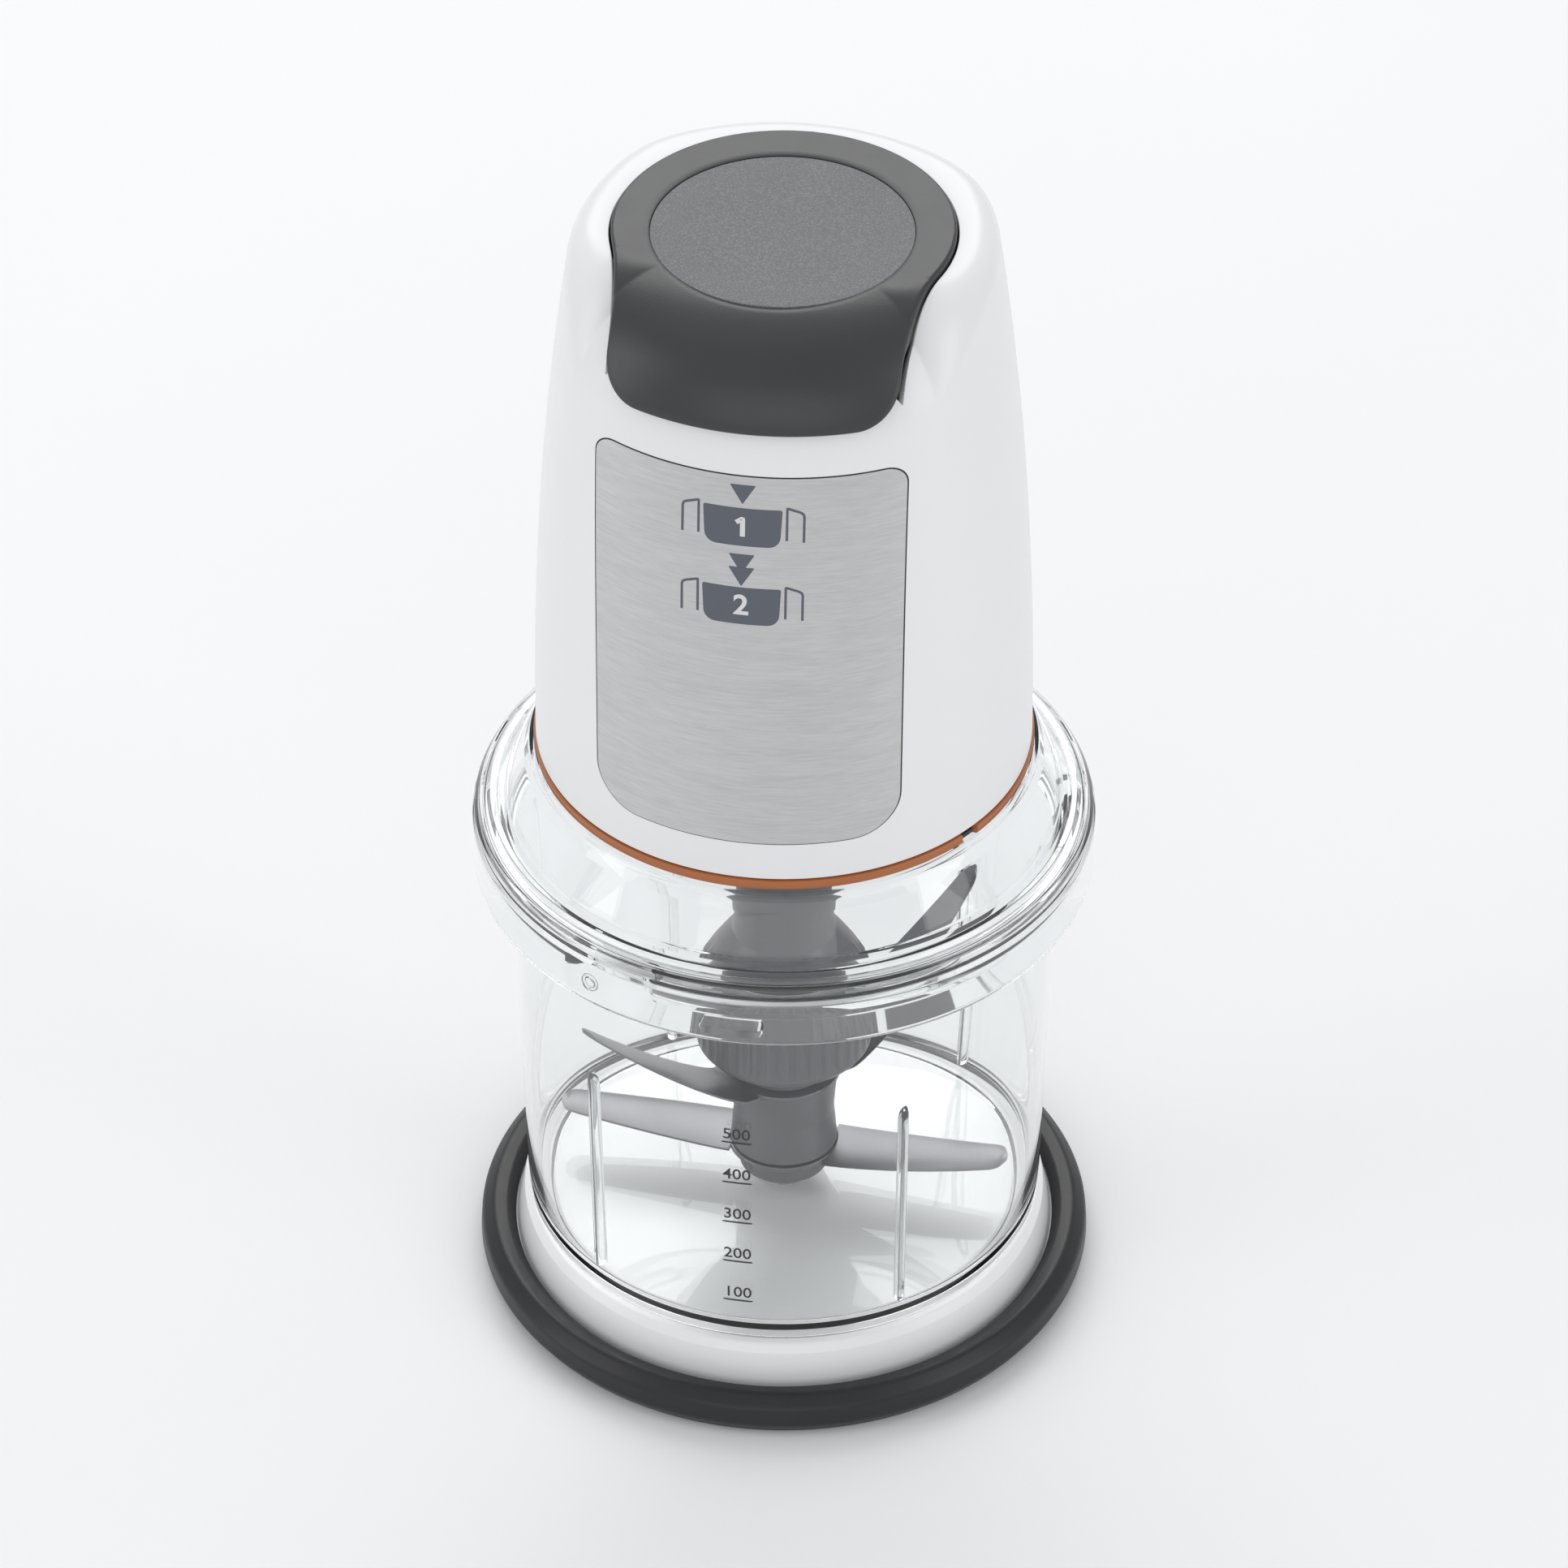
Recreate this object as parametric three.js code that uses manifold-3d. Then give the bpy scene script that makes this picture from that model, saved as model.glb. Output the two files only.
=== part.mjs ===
// A press-down mini chopper: a tall motor head with a two-stage push button stands on a clear
// locking cover, over a clear bowl with a four-winged knife, on a white base that doubles as a
// storage lid. Millimetres, +Z up, front towards -Y, origin at the centre of the footprint.
import * as THREE from "three";
import { mergeVertices } from "three/addons/utils/BufferGeometryUtils.js";
import Module from "manifold-3d";

const wasm = await Module();
wasm.setup();

// ---- Driving dimensions -------------------------------------------------------------------
const GAP = 0.3; // between touching pieces
const FOOT_R = 66.5; // outside radius of the rubber ring, the widest piece
const BOWL_Z = 17.3; // underside of the bowl on its base
const COVER_Z = 109; // lower edge of the cover's skirt
const HEAD_Z = 139; // plane on which the motor head stands
const HEAD_H = 126; // height of the head's casing above that plane
const HEAD_R = 51.6; // casing radius at its foot
const HEAD_TAPER = 9; // how much that radius shrinks up to the shoulder
const SHELL_T = 2.2; // casing wall
const BUTTON_TRAVEL = 3; // the button's full press, second speed
const SIDE_CORNER = 5; // rounding of the casing's shoulder at its sides and back
const FRONT_CORNER = 21; // rounding of the same shoulder over the front
const BUTTON_CORNER = 17; // the button's own rounding there, fuller so that its lip clears
const PANEL_W = 62; // width of the metal front panel

const ROUND = 36; // facets round the big turned pieces

const rad = THREE.MathUtils.degToRad;

// ---- Solids -------------------------------------------------------------------------------
// A closed three.js geometry as a manifold solid with its faces pointing out.
function solid(geometry) {
  const g = (geometry.index ? geometry.toNonIndexed() : geometry).clone();
  g.deleteAttribute("normal");
  g.deleteAttribute("uv");
  const merged = mergeVertices(g, 1e-3);
  const index = merged.index.array;
  const kept = [];
  for (let i = 0; i < index.length; i += 3) {
    const [a, b, c] = [index[i], index[i + 1], index[i + 2]];
    if (a !== b && b !== c && c !== a) kept.push(a, b, c);
  }
  const made = (order) =>
    new wasm.Manifold(
      new wasm.Mesh({
        numProp: 3,
        vertProperties: merged.attributes.position.array,
        triVerts: new Uint32Array(order),
      }),
    );
  const first = made(kept);
  return first.volume() > 0 ? first : made(kept.reverse());
}

// A manifold solid back as a three.js geometry.
function geometryOf(body) {
  const m = body.getMesh();
  const positions = new Float32Array(m.numVert * 3);
  for (let i = 0; i < m.numVert; i++) {
    positions.set(m.vertProperties.subarray(i * m.numProp, i * m.numProp + 3), i * 3);
  }
  const g = new THREE.BufferGeometry();
  g.setAttribute("position", new THREE.BufferAttribute(positions, 3));
  g.setIndex(new THREE.BufferAttribute(m.triVerts, 1));
  g.computeVertexNormals();
  return g;
}

// Turns an outline of [radius, height] about Z. A closed outline makes a ring.
function lathe(outline, segments = ROUND, start = 0, sweep = Math.PI * 2) {
  const points = outline.map(([r, z]) => new THREE.Vector2(r, z));
  const onAxis = outline[0][0] === 0 && outline[outline.length - 1][0] === 0;
  if (!onAxis) points.push(points[0].clone());
  const g = new THREE.LatheGeometry(points, segments, start, sweep);
  return solid(g.rotateX(Math.PI / 2));
}

const disc = (r, z0, z1, segments = 24) =>
  lathe([[0, z0], [r, z0], [r, z1], [0, z1]], segments);

const ring = (r0, r1, z0, z1, segments = 24) =>
  lathe([[r0, z0], [r1, z0], [r1, z1], [r0, z1]], segments);

// A box from its centre and size.
const block = (x, y, z, w, d, h) =>
  solid(new THREE.BoxGeometry(w, d, h).translate(x, y, z));

// A flat shape in X and Y, drawn up along Z.
function prism(shape, z0, z1, curveSegments = 8) {
  const g = new THREE.ExtrudeGeometry(shape, {
    depth: z1 - z0,
    bevelEnabled: false,
    curveSegments,
  });
  return solid(g.translate(0, 0, z0));
}

// A flat shape in X and Z, drawn along Y from y0 to y1.
function frontPrism(shape, y0, y1, curveSegments = 5) {
  const g = new THREE.ExtrudeGeometry(shape, {
    depth: y1 - y0,
    bevelEnabled: false,
    curveSegments,
  });
  return solid(g.rotateX(Math.PI / 2).translate(0, y1, 0));
}

const union = (...bodies) => bodies.reduce((a, b) => a.add(b));

const polar = (r, degrees) => [r * Math.cos(rad(degrees)), r * Math.sin(rad(degrees))];

const turned = (body, degrees) => body.rotate([0, 0, degrees]);

// ---- Materials ----------------------------------------------------------------------------
const paint = (colour, roughness, metalness = 0, opacity = 1) =>
  new THREE.MeshStandardMaterial({
    color: colour,
    roughness,
    metalness,
    opacity,
    transparent: opacity < 1,
  });

const white = paint(0xe6e6e8, 0.35);
const rubber = paint(0x222224, 0.75);
const clear = paint(0xe9edee, 0.05, 0, 0.3);
const steel = paint(0xb9bbbe, 0.3, 1);
const brushed = paint(0xb4b5b7, 0.4, 1);
const greyPlastic = paint(0x55565a, 0.5);
const buttonGrey = paint(0x2f3032, 0.5);
const padGrey = paint(0x8a8b8c, 0.7);
const orange = paint(0xc8601e, 0.4);
const laminations = paint(0x6f7276, 0.5, 1);
const copper = paint(0xb36a3c, 0.35, 1);
const nylon = paint(0xe9e4d6, 0.5);
const carbon = paint(0x1e1e20, 0.7);
const board = paint(0x2d6b3f, 0.6);
const yellow = paint(0xd8b23a, 0.5);
const bronze = paint(0xa9814c, 0.4, 1);

// ---- The head's outer surface --------------------------------------------------------------
// Angles are counted from the front, so 0 looks along -Y and 90 along +X.
// Seen from above the casing is round at its foot and slightly square at its shoulder, with
// four soft upright edges at EDGE_ANGLE, where two flatter arcs cross.
const EDGE_ANGLE = 51;
const FRONT_ARC = 9; // how far the front arc's centre lies behind the axis at the shoulder
const SIDE_ARC = 15;

// Radius of an arc with its centre moved back by c, at an angle off its middle.
function arcRadius(r0, c, degrees) {
  const a = rad(degrees);
  const big = r0 + c;
  return -c * Math.cos(a) + Math.sqrt(big * big - (c * Math.sin(a)) ** 2);
}

function wallRadius(z, degrees) {
  const t = (z - 3) / (HEAD_H - 7);
  const r0 = HEAD_R - HEAD_TAPER * t * t;
  const share = THREE.MathUtils.smoothstep(z, 30, 100);
  const off = Math.abs(((degrees + 180) % 360) - 180);
  const front = off > 90 ? 180 - off : off;
  const a = arcRadius(r0, FRONT_ARC * share, front);
  const b = arcRadius(r0, SIDE_ARC * share, 90 - front);
  return Math.min(a, b);
}

// The shoulder's rounding grows from the sides to the front, which draws the sloping edge
// that falls from each side of the top towards the front.
function cornerRadius(degrees, frontCorner) {
  const off = Math.abs(((degrees + 180) % 360) - 180);
  const t = THREE.MathUtils.clamp((95 - off) / 45, 0, 1);
  return SIDE_CORNER + (frontCorner - SIDE_CORNER) * t ** 2.7;
}

// The casing's skin moved in or out by "grow", as a closed body from z0 up to its top.
function headBody(grow, z0, riseTop = grow, frontCorner = FRONT_CORNER) {
  const top = HEAD_H + riseTop;
  const turns = ROUND;
  const rings = 4;
  const steps = 5;
  const rows = [];
  for (let i = 0; i < turns; i++) {
    const degrees = (i * 360) / turns;
    const corner = Math.max(cornerRadius(degrees, frontCorner) + grow, 2);
    const start = top - corner;
    const row = [];
    for (let k = 0; k < rings; k++) {
      const z = z0 + ((start - z0) * k) / rings;
      row.push([wallRadius(z, degrees) + grow, z]);
    }
    for (let k = 0; k <= steps; k++) {
      const a = (k / steps) * (Math.PI / 2);
      const z = start + corner * Math.sin(a);
      row.push([wallRadius(z, degrees) + grow - corner * (1 - Math.cos(a)), z]);
    }
    rows.push(row.map(([r, z]) => [r * Math.sin(rad(degrees)), -r * Math.cos(rad(degrees)), z]));
  }
  const levels = rows[0].length;
  const corners = rows.flat();
  const foot = corners.push([0, 0, z0]) - 1;
  const crown = corners.push([0, 0, top]) - 1;
  const at = (i, k) => (i % turns) * levels + k;
  const faces = [];
  for (let i = 0; i < turns; i++) {
    for (let k = 0; k < levels - 1; k++) {
      faces.push(at(i, k), at(i + 1, k), at(i + 1, k + 1));
      faces.push(at(i, k), at(i + 1, k + 1), at(i, k + 1));
    }
    faces.push(foot, at(i + 1, 0), at(i, 0));
    faces.push(crown, at(i, levels - 1), at(i + 1, levels - 1));
  }
  const g = new THREE.BufferGeometry();
  g.setAttribute("position", new THREE.Float32BufferAttribute(corners.flat(), 3));
  g.setIndex(faces);
  return solid(g);
}

// The button's outline from above: a circle that runs by a hollow curve into a front flap.
const BUTTON_R = 34.2;
const FLAP_HALF = 29;
const FLAP_CURVE = 80;
const FLAP_ROUND = 7; // rounding of the flap's lower corners
const BUTTON_FOOT = 110; // lower edge of the flap above the head's foot
const CURVE_X = FLAP_HALF + FLAP_CURVE; // centre of the hollow curve
const CURVE_Y = -Math.sqrt((BUTTON_R + FLAP_CURVE) ** 2 - CURVE_X ** 2);
function buttonOutline(grow) {
  const r = BUTTON_R + grow;
  const half = FLAP_HALF + grow;
  const curve = FLAP_CURVE - grow;
  const a = Math.atan2(CURVE_Y, CURVE_X);
  const front = -60;
  const s = new THREE.Shape();
  s.moveTo(half, front);
  s.lineTo(half, CURVE_Y);
  s.absarc(CURVE_X, CURVE_Y, curve, Math.PI, Math.PI + a, true);
  s.absarc(0, 0, r, a, Math.PI - a, false);
  s.absarc(-CURVE_X, CURVE_Y, curve, -a, 0, true);
  s.lineTo(-half, front);
  return s;
}

// A rectangle in X and Z with its own radius at the upper and the lower corners.
function plateOutline(half, z0, z1, low, high) {
  const s = new THREE.Shape();
  s.moveTo(-half + low, z0);
  s.lineTo(half - low, z0);
  s.absarc(half - low, z0 + low, low, -Math.PI / 2, 0, false);
  s.lineTo(half, z1 - high);
  s.absarc(half - high, z1 - high, high, 0, Math.PI / 2, false);
  s.lineTo(-half + high, z1);
  s.absarc(-half + high, z1 - high, high, Math.PI / 2, Math.PI, false);
  s.lineTo(-half, z0 + low);
  s.absarc(-half + low, z0 + low, low, Math.PI, Math.PI * 1.5, false);
  return s;
}

// The space of the button: the outline from above, with the flap's foot rounded in front.
function buttonSpace(grow) {
  const foot = BUTTON_FOOT - grow;
  const outline = plateOutline(FLAP_HALF + grow, foot, 150, FLAP_ROUND, 1);
  const flap = frontPrism(outline, -60, CURVE_Y);
  const rear = block(0, 0, foot + 20, 80, -2 * CURVE_Y, 40).add(block(0, 40, foot + 20, 80, 80, 40));
  return prism(buttonOutline(grow), 60, 140, 10).intersect(flap.add(rear));
}

// ---- Gears ---------------------------------------------------------------------------------
const MODULE = 1;
const PRESSURE = rad(25);
const SUN_TEETH = 12;
const PLANET_TEETH = 12;
const RING_TEETH = 36;
const ORBIT = ((SUN_TEETH + PLANET_TEETH) * MODULE) / 2;
const GEAR_H = 7.5;

// Outline of an involute gear with a tooth on the +X axis. "slack" thins each tooth.
function gearOutline(teeth, addendum, dedendum, slack) {
  const pitch = (teeth * MODULE) / 2;
  const base = pitch * Math.cos(PRESSURE);
  const involute = (r) => {
    const a = r > base ? Math.acos(base / r) : 0;
    return Math.tan(a) - a;
  };
  const middle = Math.PI / (2 * teeth) - slack / (2 * pitch) + involute(pitch);
  const radii = [pitch - dedendum, pitch - 0.15, pitch + addendum];
  const points = [];
  for (let k = 0; k < teeth; k++) {
    const centre = (k * 2 * Math.PI) / teeth;
    const flank = radii.map((r) => [r, middle - involute(r)]);
    for (const [r, a] of flank) points.push([r, centre - a]);
    for (const [r, a] of flank.reverse()) points.push([r, centre + a]);
  }
  return new THREE.Shape(
    points.map(([r, a]) => new THREE.Vector2(r * Math.cos(a), r * Math.sin(a))),
  );
}

const gear = (teeth, bore) =>
  prism(gearOutline(teeth, 0.8, 1.0, 0.2), 0, GEAR_H, 1).subtract(disc(bore, -1, GEAR_H + 1, 16));

function ringGear() {
  const space = prism(gearOutline(RING_TEETH, 1.0, 0.8, -0.2), -1, GEAR_H + 1, 1);
  return disc(22.6, 0, GEAR_H).subtract(turned(space, 180 / RING_TEETH));
}

// ---- Base -----------------------------------------------------------------------------------
// The lid is hollow below, so that turned over it closes the bowl. Its flange sits in the ring.
function baseLid() {
  return lathe(
    [
      [0, 14.4], [53.6, 14.4], [55.6, 12], [56.6, 3.8], [62, 3.8], [62, 6.2],
      [58.4, 6.2], [58.1, 8], [56.6, 15.4], [55.6, 17], [0, 17],
    ],
    ROUND,
  );
}

function rubberRing() {
  const inner = 58.8;
  return lathe(
    [
      [inner, 1.4], [60.2, 0], [64.4, 0], [66, 2], [FOOT_R, 5], [65.6, 8], [63.4, 9.9],
      [61.2, 9.4], [inner, 7.6], [inner, 6.6], [62.4, 6.6], [62.4, 3.4], [inner, 3.4],
    ],
    ROUND,
  );
}

// ---- Bowl -----------------------------------------------------------------------------------
// Clear moulding with a flat floor, four upright ribs and a rim with three gaps for the
// cover's lugs. Heights are above its underside.
const RIM_Z = 96.4; // underside of the rim flange
const LUG_TURN = 25; // degrees that the cover turns between open and locked
const LUGS = [30, 150, 270];
function bowlBody() {
  let body = lathe(
    [
      [0, 1.2], [50, 1.2], [51.4, 0], [54.4, 0], [55.7, 1.8], [57.5, RIM_Z - 1.4],
      [61.6, RIM_Z], [62.6, RIM_Z + 1], [62.6, RIM_Z + 4.6], [61.8, RIM_Z + 5.6],
      [56.6, RIM_Z + 5.6], [55.4, RIM_Z - 1], [53.7, 5], [51.6, 3.4], [0, 3.4],
    ],
    ROUND,
  );
  for (const angle of [-127.5, -52.5, 52.5, 127.5]) {
    const rib = block(52.6, 0, 33.5, 4.2, 1.8, 60.5);
    body = body.add(turned(rib, angle));
  }
  body = body.add(disc(6.2, 3, 5.6, 20)).subtract(disc(3.2, 1.9, 8, 16));
  for (const angle of LUGS) {
    const gap = block(61.6, 0, RIM_Z + 2.2, 6, 17, 8);
    body = body.subtract(turned(gap, angle - LUG_TURN));
  }
  return body;
}

const centrePin = () => lathe([[0, 2.2], [3.0, 2.2], [3.0, 52], [2.2, 53.4], [0, 53.4]], 16);

// ---- Knife ----------------------------------------------------------------------------------
const NECK_R = 10.4;
const LOWER_KNIFE_Z = 29;
const UPPER_KNIFE_Z = 50;

// The grey stem. It turns on the centre pin, and its socket takes the drive dog from above.
function knifeStem() {
  const outer = lathe(
    [
      [0, 23.4], [9.5, 23.4], [9.5, LOWER_KNIFE_Z - GAP], [7.6, LOWER_KNIFE_Z - GAP],
      [7.6, 56], [17.4, 59], [18.2, 61], [18.2, 76.6], [16.8, 79.4], [14.2, 83.6],
      [NECK_R + 0.4, 88.5], [NECK_R, 90], [NECK_R, 134], [0, 134],
    ],
    24,
  );
  let body = outer.subtract(disc(3.4, 20, 72, 16)).subtract(disc(8.9, 121, 140, 24));
  const flutes = 12;
  for (let k = 0; k < flutes; k++) {
    const flute = block(18.4, 0, 71.5, 1.6, 1.4, 19);
    body = body.subtract(turned(flute, (k * 360) / flutes));
  }
  const key = block(7.9, 0, 127.5, 2.6, 3.4, 12.8);
  const keys = [90, 270].map((angle) => turned(key, angle));
  return body.add(keys[0]).add(keys[1]);
}

const collar = (r, z0, z1) => ring(7.9, r, z0, z1, 28);

// Two wings from one steel plate: swept outlines on each side of a ring that sits on the stem.
function knifePlate(reach, rise, thickness) {
  const wing = new THREE.Shape();
  wing.moveTo(0, -8);
  wing.lineTo(20, -7.5);
  wing.quadraticCurveTo(reach * 0.8, -6.5, reach, 3);
  wing.quadraticCurveTo(reach * 0.8, 6, 20, 7);
  wing.lineTo(0, 8);
  const flat = prism(wing, 0, thickness, 6);
  const bent = flat.refineToLength(12).warp((v) => {
    const out = Math.max(0, v[0] - 13);
    v[2] += rise * (out / (reach - 13)) ** 1.2;
  });
  return union(ring(6, 11.6, 0, thickness, 28), bent, turned(bent, 180)).subtract(
    disc(7.9, -2, thickness + 4, 28),
  );
}

// ---- Cover ----------------------------------------------------------------------------------
// Clear dome with ridges round its rim, a skirt outside the bowl's rim, and a hole for the stem.
// Heights are above the lower edge of the skirt.
function bowlCover() {
  let body = lathe(
    [
      [12, 21], [14, 21], [14, 27.4], [51.2, 27.4], [52.4, 25], [56.6, 15.4], [59.4, 14.2],
      [63.4, 13.8], [63.4, 0], [65.4, 0], [65.4, 12], [64.4, 13.6], [62.2, 14.6], [61.2, 16.2],
      [58.6, 16.6], [54.4, 26.2], [53.2, 29], [52, 29.6], [12, 29.6],
    ],
    ROUND,
  );
  for (const angle of LUGS) {
    const lug = block(61.4, 0, 1.9, 5, 13, 2);
    const cut = disc(58.4, 0, 4, ROUND);
    body = body.add(turned(lug, angle).subtract(cut));
  }
  return body;
}

// ---- Motor head -----------------------------------------------------------------------------
const PANEL_LOW = 12;
const PANEL_HIGH = 99;
const SCREWS = [45, 135, 225, 315];
const SCREW_R = 43.4;
const KEY_ANGLE = -33; // where the interlock foot shows, counted from +X

const panelOutline = (grow) =>
  plateOutline(PANEL_W / 2 + grow, PANEL_LOW - grow, PANEL_HIGH + grow, 9 + grow, 4 + grow);

function headShell() {
  const foot = 2.9;
  let body = headBody(0, foot).subtract(headBody(-SHELL_T, foot - 1, -SHELL_T));
  body = body.subtract(buttonSpace(0.5));
  const skin = headBody(1, foot - 1).subtract(headBody(-1.1, foot - 2));
  body = body.subtract(frontPrism(panelOutline(GAP), -60, -20).intersect(skin));
  const gland = disc(4.6, 0, 20, 20).rotate([-90, 0, 0]).translate([0, 40, 22]);
  body = body.subtract(gland);
  const guides = [-17, 17].map((x) => block(x, 39.5, 56, 2, 10.8, 20));
  body = body.add(union(...guides));
  for (const angle of SCREWS) {
    body = body.add(turned(block(42, 0, 99.8, 9, 6, 2.8), angle));
    const post = disc(3.4, 6.4, 18, 10).translate([...polar(SCREW_R, angle), 0]);
    const web = turned(block(48, 0, 12.2, 5, 2, 11.6), angle);
    const hole = disc(1.6, 5, 16.5, 8).translate([...polar(SCREW_R, angle), 0]);
    body = body.add(union(post, web)).subtract(hole);
  }
  return body;
}

// Notch through the foot of the head for the interlock's foot.
const interlockNotch = () => turned(block(48.8, 0, 1, 7.6, 4.2, 6), KEY_ANGLE);

const trimRing = () => ring(49.2, 52, 0.2, 2.6, ROUND).subtract(interlockNotch());

function headBasePlate() {
  let body = lathe([[7.9, 3.4], [46.9, 3.4], [46.9, 0.2], [48.9, 0.2], [48.9, 6], [7.9, 6]], 40);
  body = body.subtract(interlockNotch());
  body = body.subtract(turned(block(47, 0, 5, 4.6, 4.2, 10), KEY_ANGLE));
  for (const angle of SCREWS) {
    body = body.subtract(disc(1.6, 0, 8, 8).translate([...polar(SCREW_R, angle), 0]));
  }
  return body;
}

const controlPanel = () =>
  headBody(-0.1, 1, 0).subtract(headBody(-0.8, 0, 0))
    .intersect(frontPrism(panelOutline(0), -60, -20));

// Flanged rubber bush where the supply lead enters.
const cordGland = () =>
  lathe([[2.6, 0], [6.4, 0], [6.4, 2], [4.3, 2.4], [4.3, 5.4], [6, 5.6], [6, 7.2], [2.6, 7.2]], 20);

const baseScrew = () => lathe([[0, 0], [2.8, 0], [2.8, 1.1], [1.3, 1.1], [1.3, 13], [0, 14]], 8);

// ---- Gearbox --------------------------------------------------------------------------------
const outputBush = () => lathe([[4.3, -1], [7.6, -1], [7.6, 5.6], [4.3, 5.6]], 20);

const gearboxHousing = () =>
  lathe([[8.2, 0], [25.6, 0], [25.6, 16], [23, 16], [23, 2], [8.2, 2]], 36);

function planetCarrier() {
  const shaft = disc(4, -26, 0.5, 16);
  const plate = disc(16.4, 0, 2, 28);
  const pins = [0, 120, 240].map((a) => disc(1.8, 1.5, 10.8, 12).translate([...polar(ORBIT, a), 0]));
  return union(shaft, plate, ...pins);
}

// Two-winged dog on the output shaft. It has free play round the keys in the knife's socket.
function driveDog() {
  const hub = disc(5.8, 0, 12, 20);
  const bar = block(0, 0, 6, 16.6, 3.6, 12);
  return union(hub, bar).subtract(disc(4.3, -1, 13, 16));
}

// ---- Motor ----------------------------------------------------------------------------------
const motorShaft = () => disc(2.5, 0, 87.5, 12);

// Plate that closes the gearbox, with two legs up to the stator.
function motorMount() {
  const plate = disc(25.6, 0, 2.5, 36);
  const arms = block(0, 0, 1.25, 64, 10, 2.5);
  const legs = [-31, 31].map((x) => block(x, 0, 9.2, 3, 10, 18.4));
  return union(plate, arms, ...legs).subtract(disc(5.9, -1, 5, 20));
}

function stator() {
  const stack = disc(32.5, 0, 32, 40).intersect(block(0, 0, 16, 80, 53, 40));
  const slots = [];
  for (const x of [-20.5, 20.5]) {
    for (const y of [-15.4, 15.4]) slots.push(block(x, y, 16, 6.4, 6.8, 40));
  }
  return stack.subtract(union(disc(17.2, -1, 33, 32), ...slots));
}

// A wound coil: a racetrack whose upright sides run in the stator's slots.
function fieldCoil() {
  const outline = (half, z0, z1, r) => plateOutline(half, z0, z1, r, r);
  const loop = outline(23.2, -6, 38, 3);
  loop.holes.push(outline(17.8, -0.6, 32.6, 1));
  return frontPrism(loop, -2.9, 2.9, 3);
}

const ARMATURE_SLOTS = 12;
function armatureCore() {
  let body = disc(16.4, 0, 30, 36).subtract(disc(2.8, -1, 31, 12));
  for (let k = 0; k < ARMATURE_SLOTS; k++) {
    body = body.subtract(turned(block(14, 0, 15, 9, 3.2, 40), (k * 360) / ARMATURE_SLOTS));
  }
  return body;
}

function armatureWindings() {
  const ends = [ring(2.8, 11.6, -6, -GAP, 12), ring(2.8, 11.6, 30 + GAP, 36.4, 12)];
  const bars = [];
  for (let k = 0; k < ARMATURE_SLOTS; k++) {
    bars.push(turned(block(12.6, 0, 15, 5.4, 2.6, 32), (k * 360) / ARMATURE_SLOTS));
  }
  const low = ring(9.4, 12.2, -3, -GAP, 12);
  const high = ring(9.4, 12.2, 30 + GAP, 33, 12);
  return union(...ends, low, high, ...bars);
}

function coolingFan() {
  const hub = union(disc(6.4, 0, 6.5, 16), disc(27, 0, 1.2, 32));
  const blades = [];
  for (let k = 0; k < 9; k++) {
    blades.push(turned(block(17.5, 0, 3.7, 15, 1.2, 5.6), k * 40));
  }
  return union(hub, ...blades).subtract(disc(2.8, -1, 8, 12));
}

function upperBracket() {
  const bridge = block(0, 0, 23.2, 63, 13, 3);
  const boss = disc(8.4, 20.5, 24.7, 20);
  const legs = [-30, 30].map((x) => block(x, 0, 12.5, 3, 13, 24.4));
  const hangers = [-15, 15].map((y) => block(0, y, 21.15, 8, 18, 7.1));
  return union(bridge, boss, ...legs, ...hangers).subtract(disc(5.9, 10, 30, 20));
}

const brushHolder = () =>
  block(0, 0, 0, 7, 13, 7).subtract(block(0, 0, 0, 4.6, 20, 4.6));

// ---- Button and switch ------------------------------------------------------------------------
const BUTTON_SKIN = 2.8; // how far the button stands proud of the casing
const BUTTON_RISE = 1.4; // and how far its top stands above the casing's
const PAD_R = 26;
const PAD_Y = -1.5; // the pad sits a little towards the front

function speedButton() {
  const outer = headBody(BUTTON_SKIN, 60, BUTTON_RISE, BUTTON_CORNER);
  const inner = headBody(BUTTON_SKIN - 1.1, 50, BUTTON_RISE - 2.6, BUTTON_CORNER);
  let body = outer.intersect(buttonSpace(0));
  const hollow = union(
    inner.intersect(prism(buttonOutline(-1.6), 50, 140, 10)),
    inner.intersect(disc(80, 60, BUTTON_FOOT + FLAP_ROUND + BUTTON_TRAVEL + 0.5)),
  );
  body = body.subtract(hollow);
  body = body.subtract(disc(PAD_R + GAP, HEAD_H + 0.2, HEAD_H + 5, 36).translate([0, PAD_Y, 0]));
  const stem = block(0, -30, 120.6, 12, 4, 8.8);
  const sockets = [-22, 22].map((x) =>
    disc(5.6, 117, HEAD_H - 1, 16).subtract(disc(4.4, 116, 123, 16)).translate([x, 6, 0]),
  );
  return union(body, stem.intersect(outer), ...sockets);
}

const buttonPad = () =>
  lathe([[0, HEAD_H + 0.5], [PAD_R, HEAD_H + 0.5], [PAD_R, HEAD_H + 0.9], [0, HEAD_H + 0.9]], 36);

// Tray under the button: carries the springs, their posts and the switch.
function buttonTray() {
  const plate = disc(40.4, 0, 2, 36).subtract(disc(6, -1, 3, 20));
  const posts = [-22, 22].map((x) => disc(2.2, 1.5, 10, 12).translate([x, 6, 0]));
  return union(plate, ...posts);
}

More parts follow.
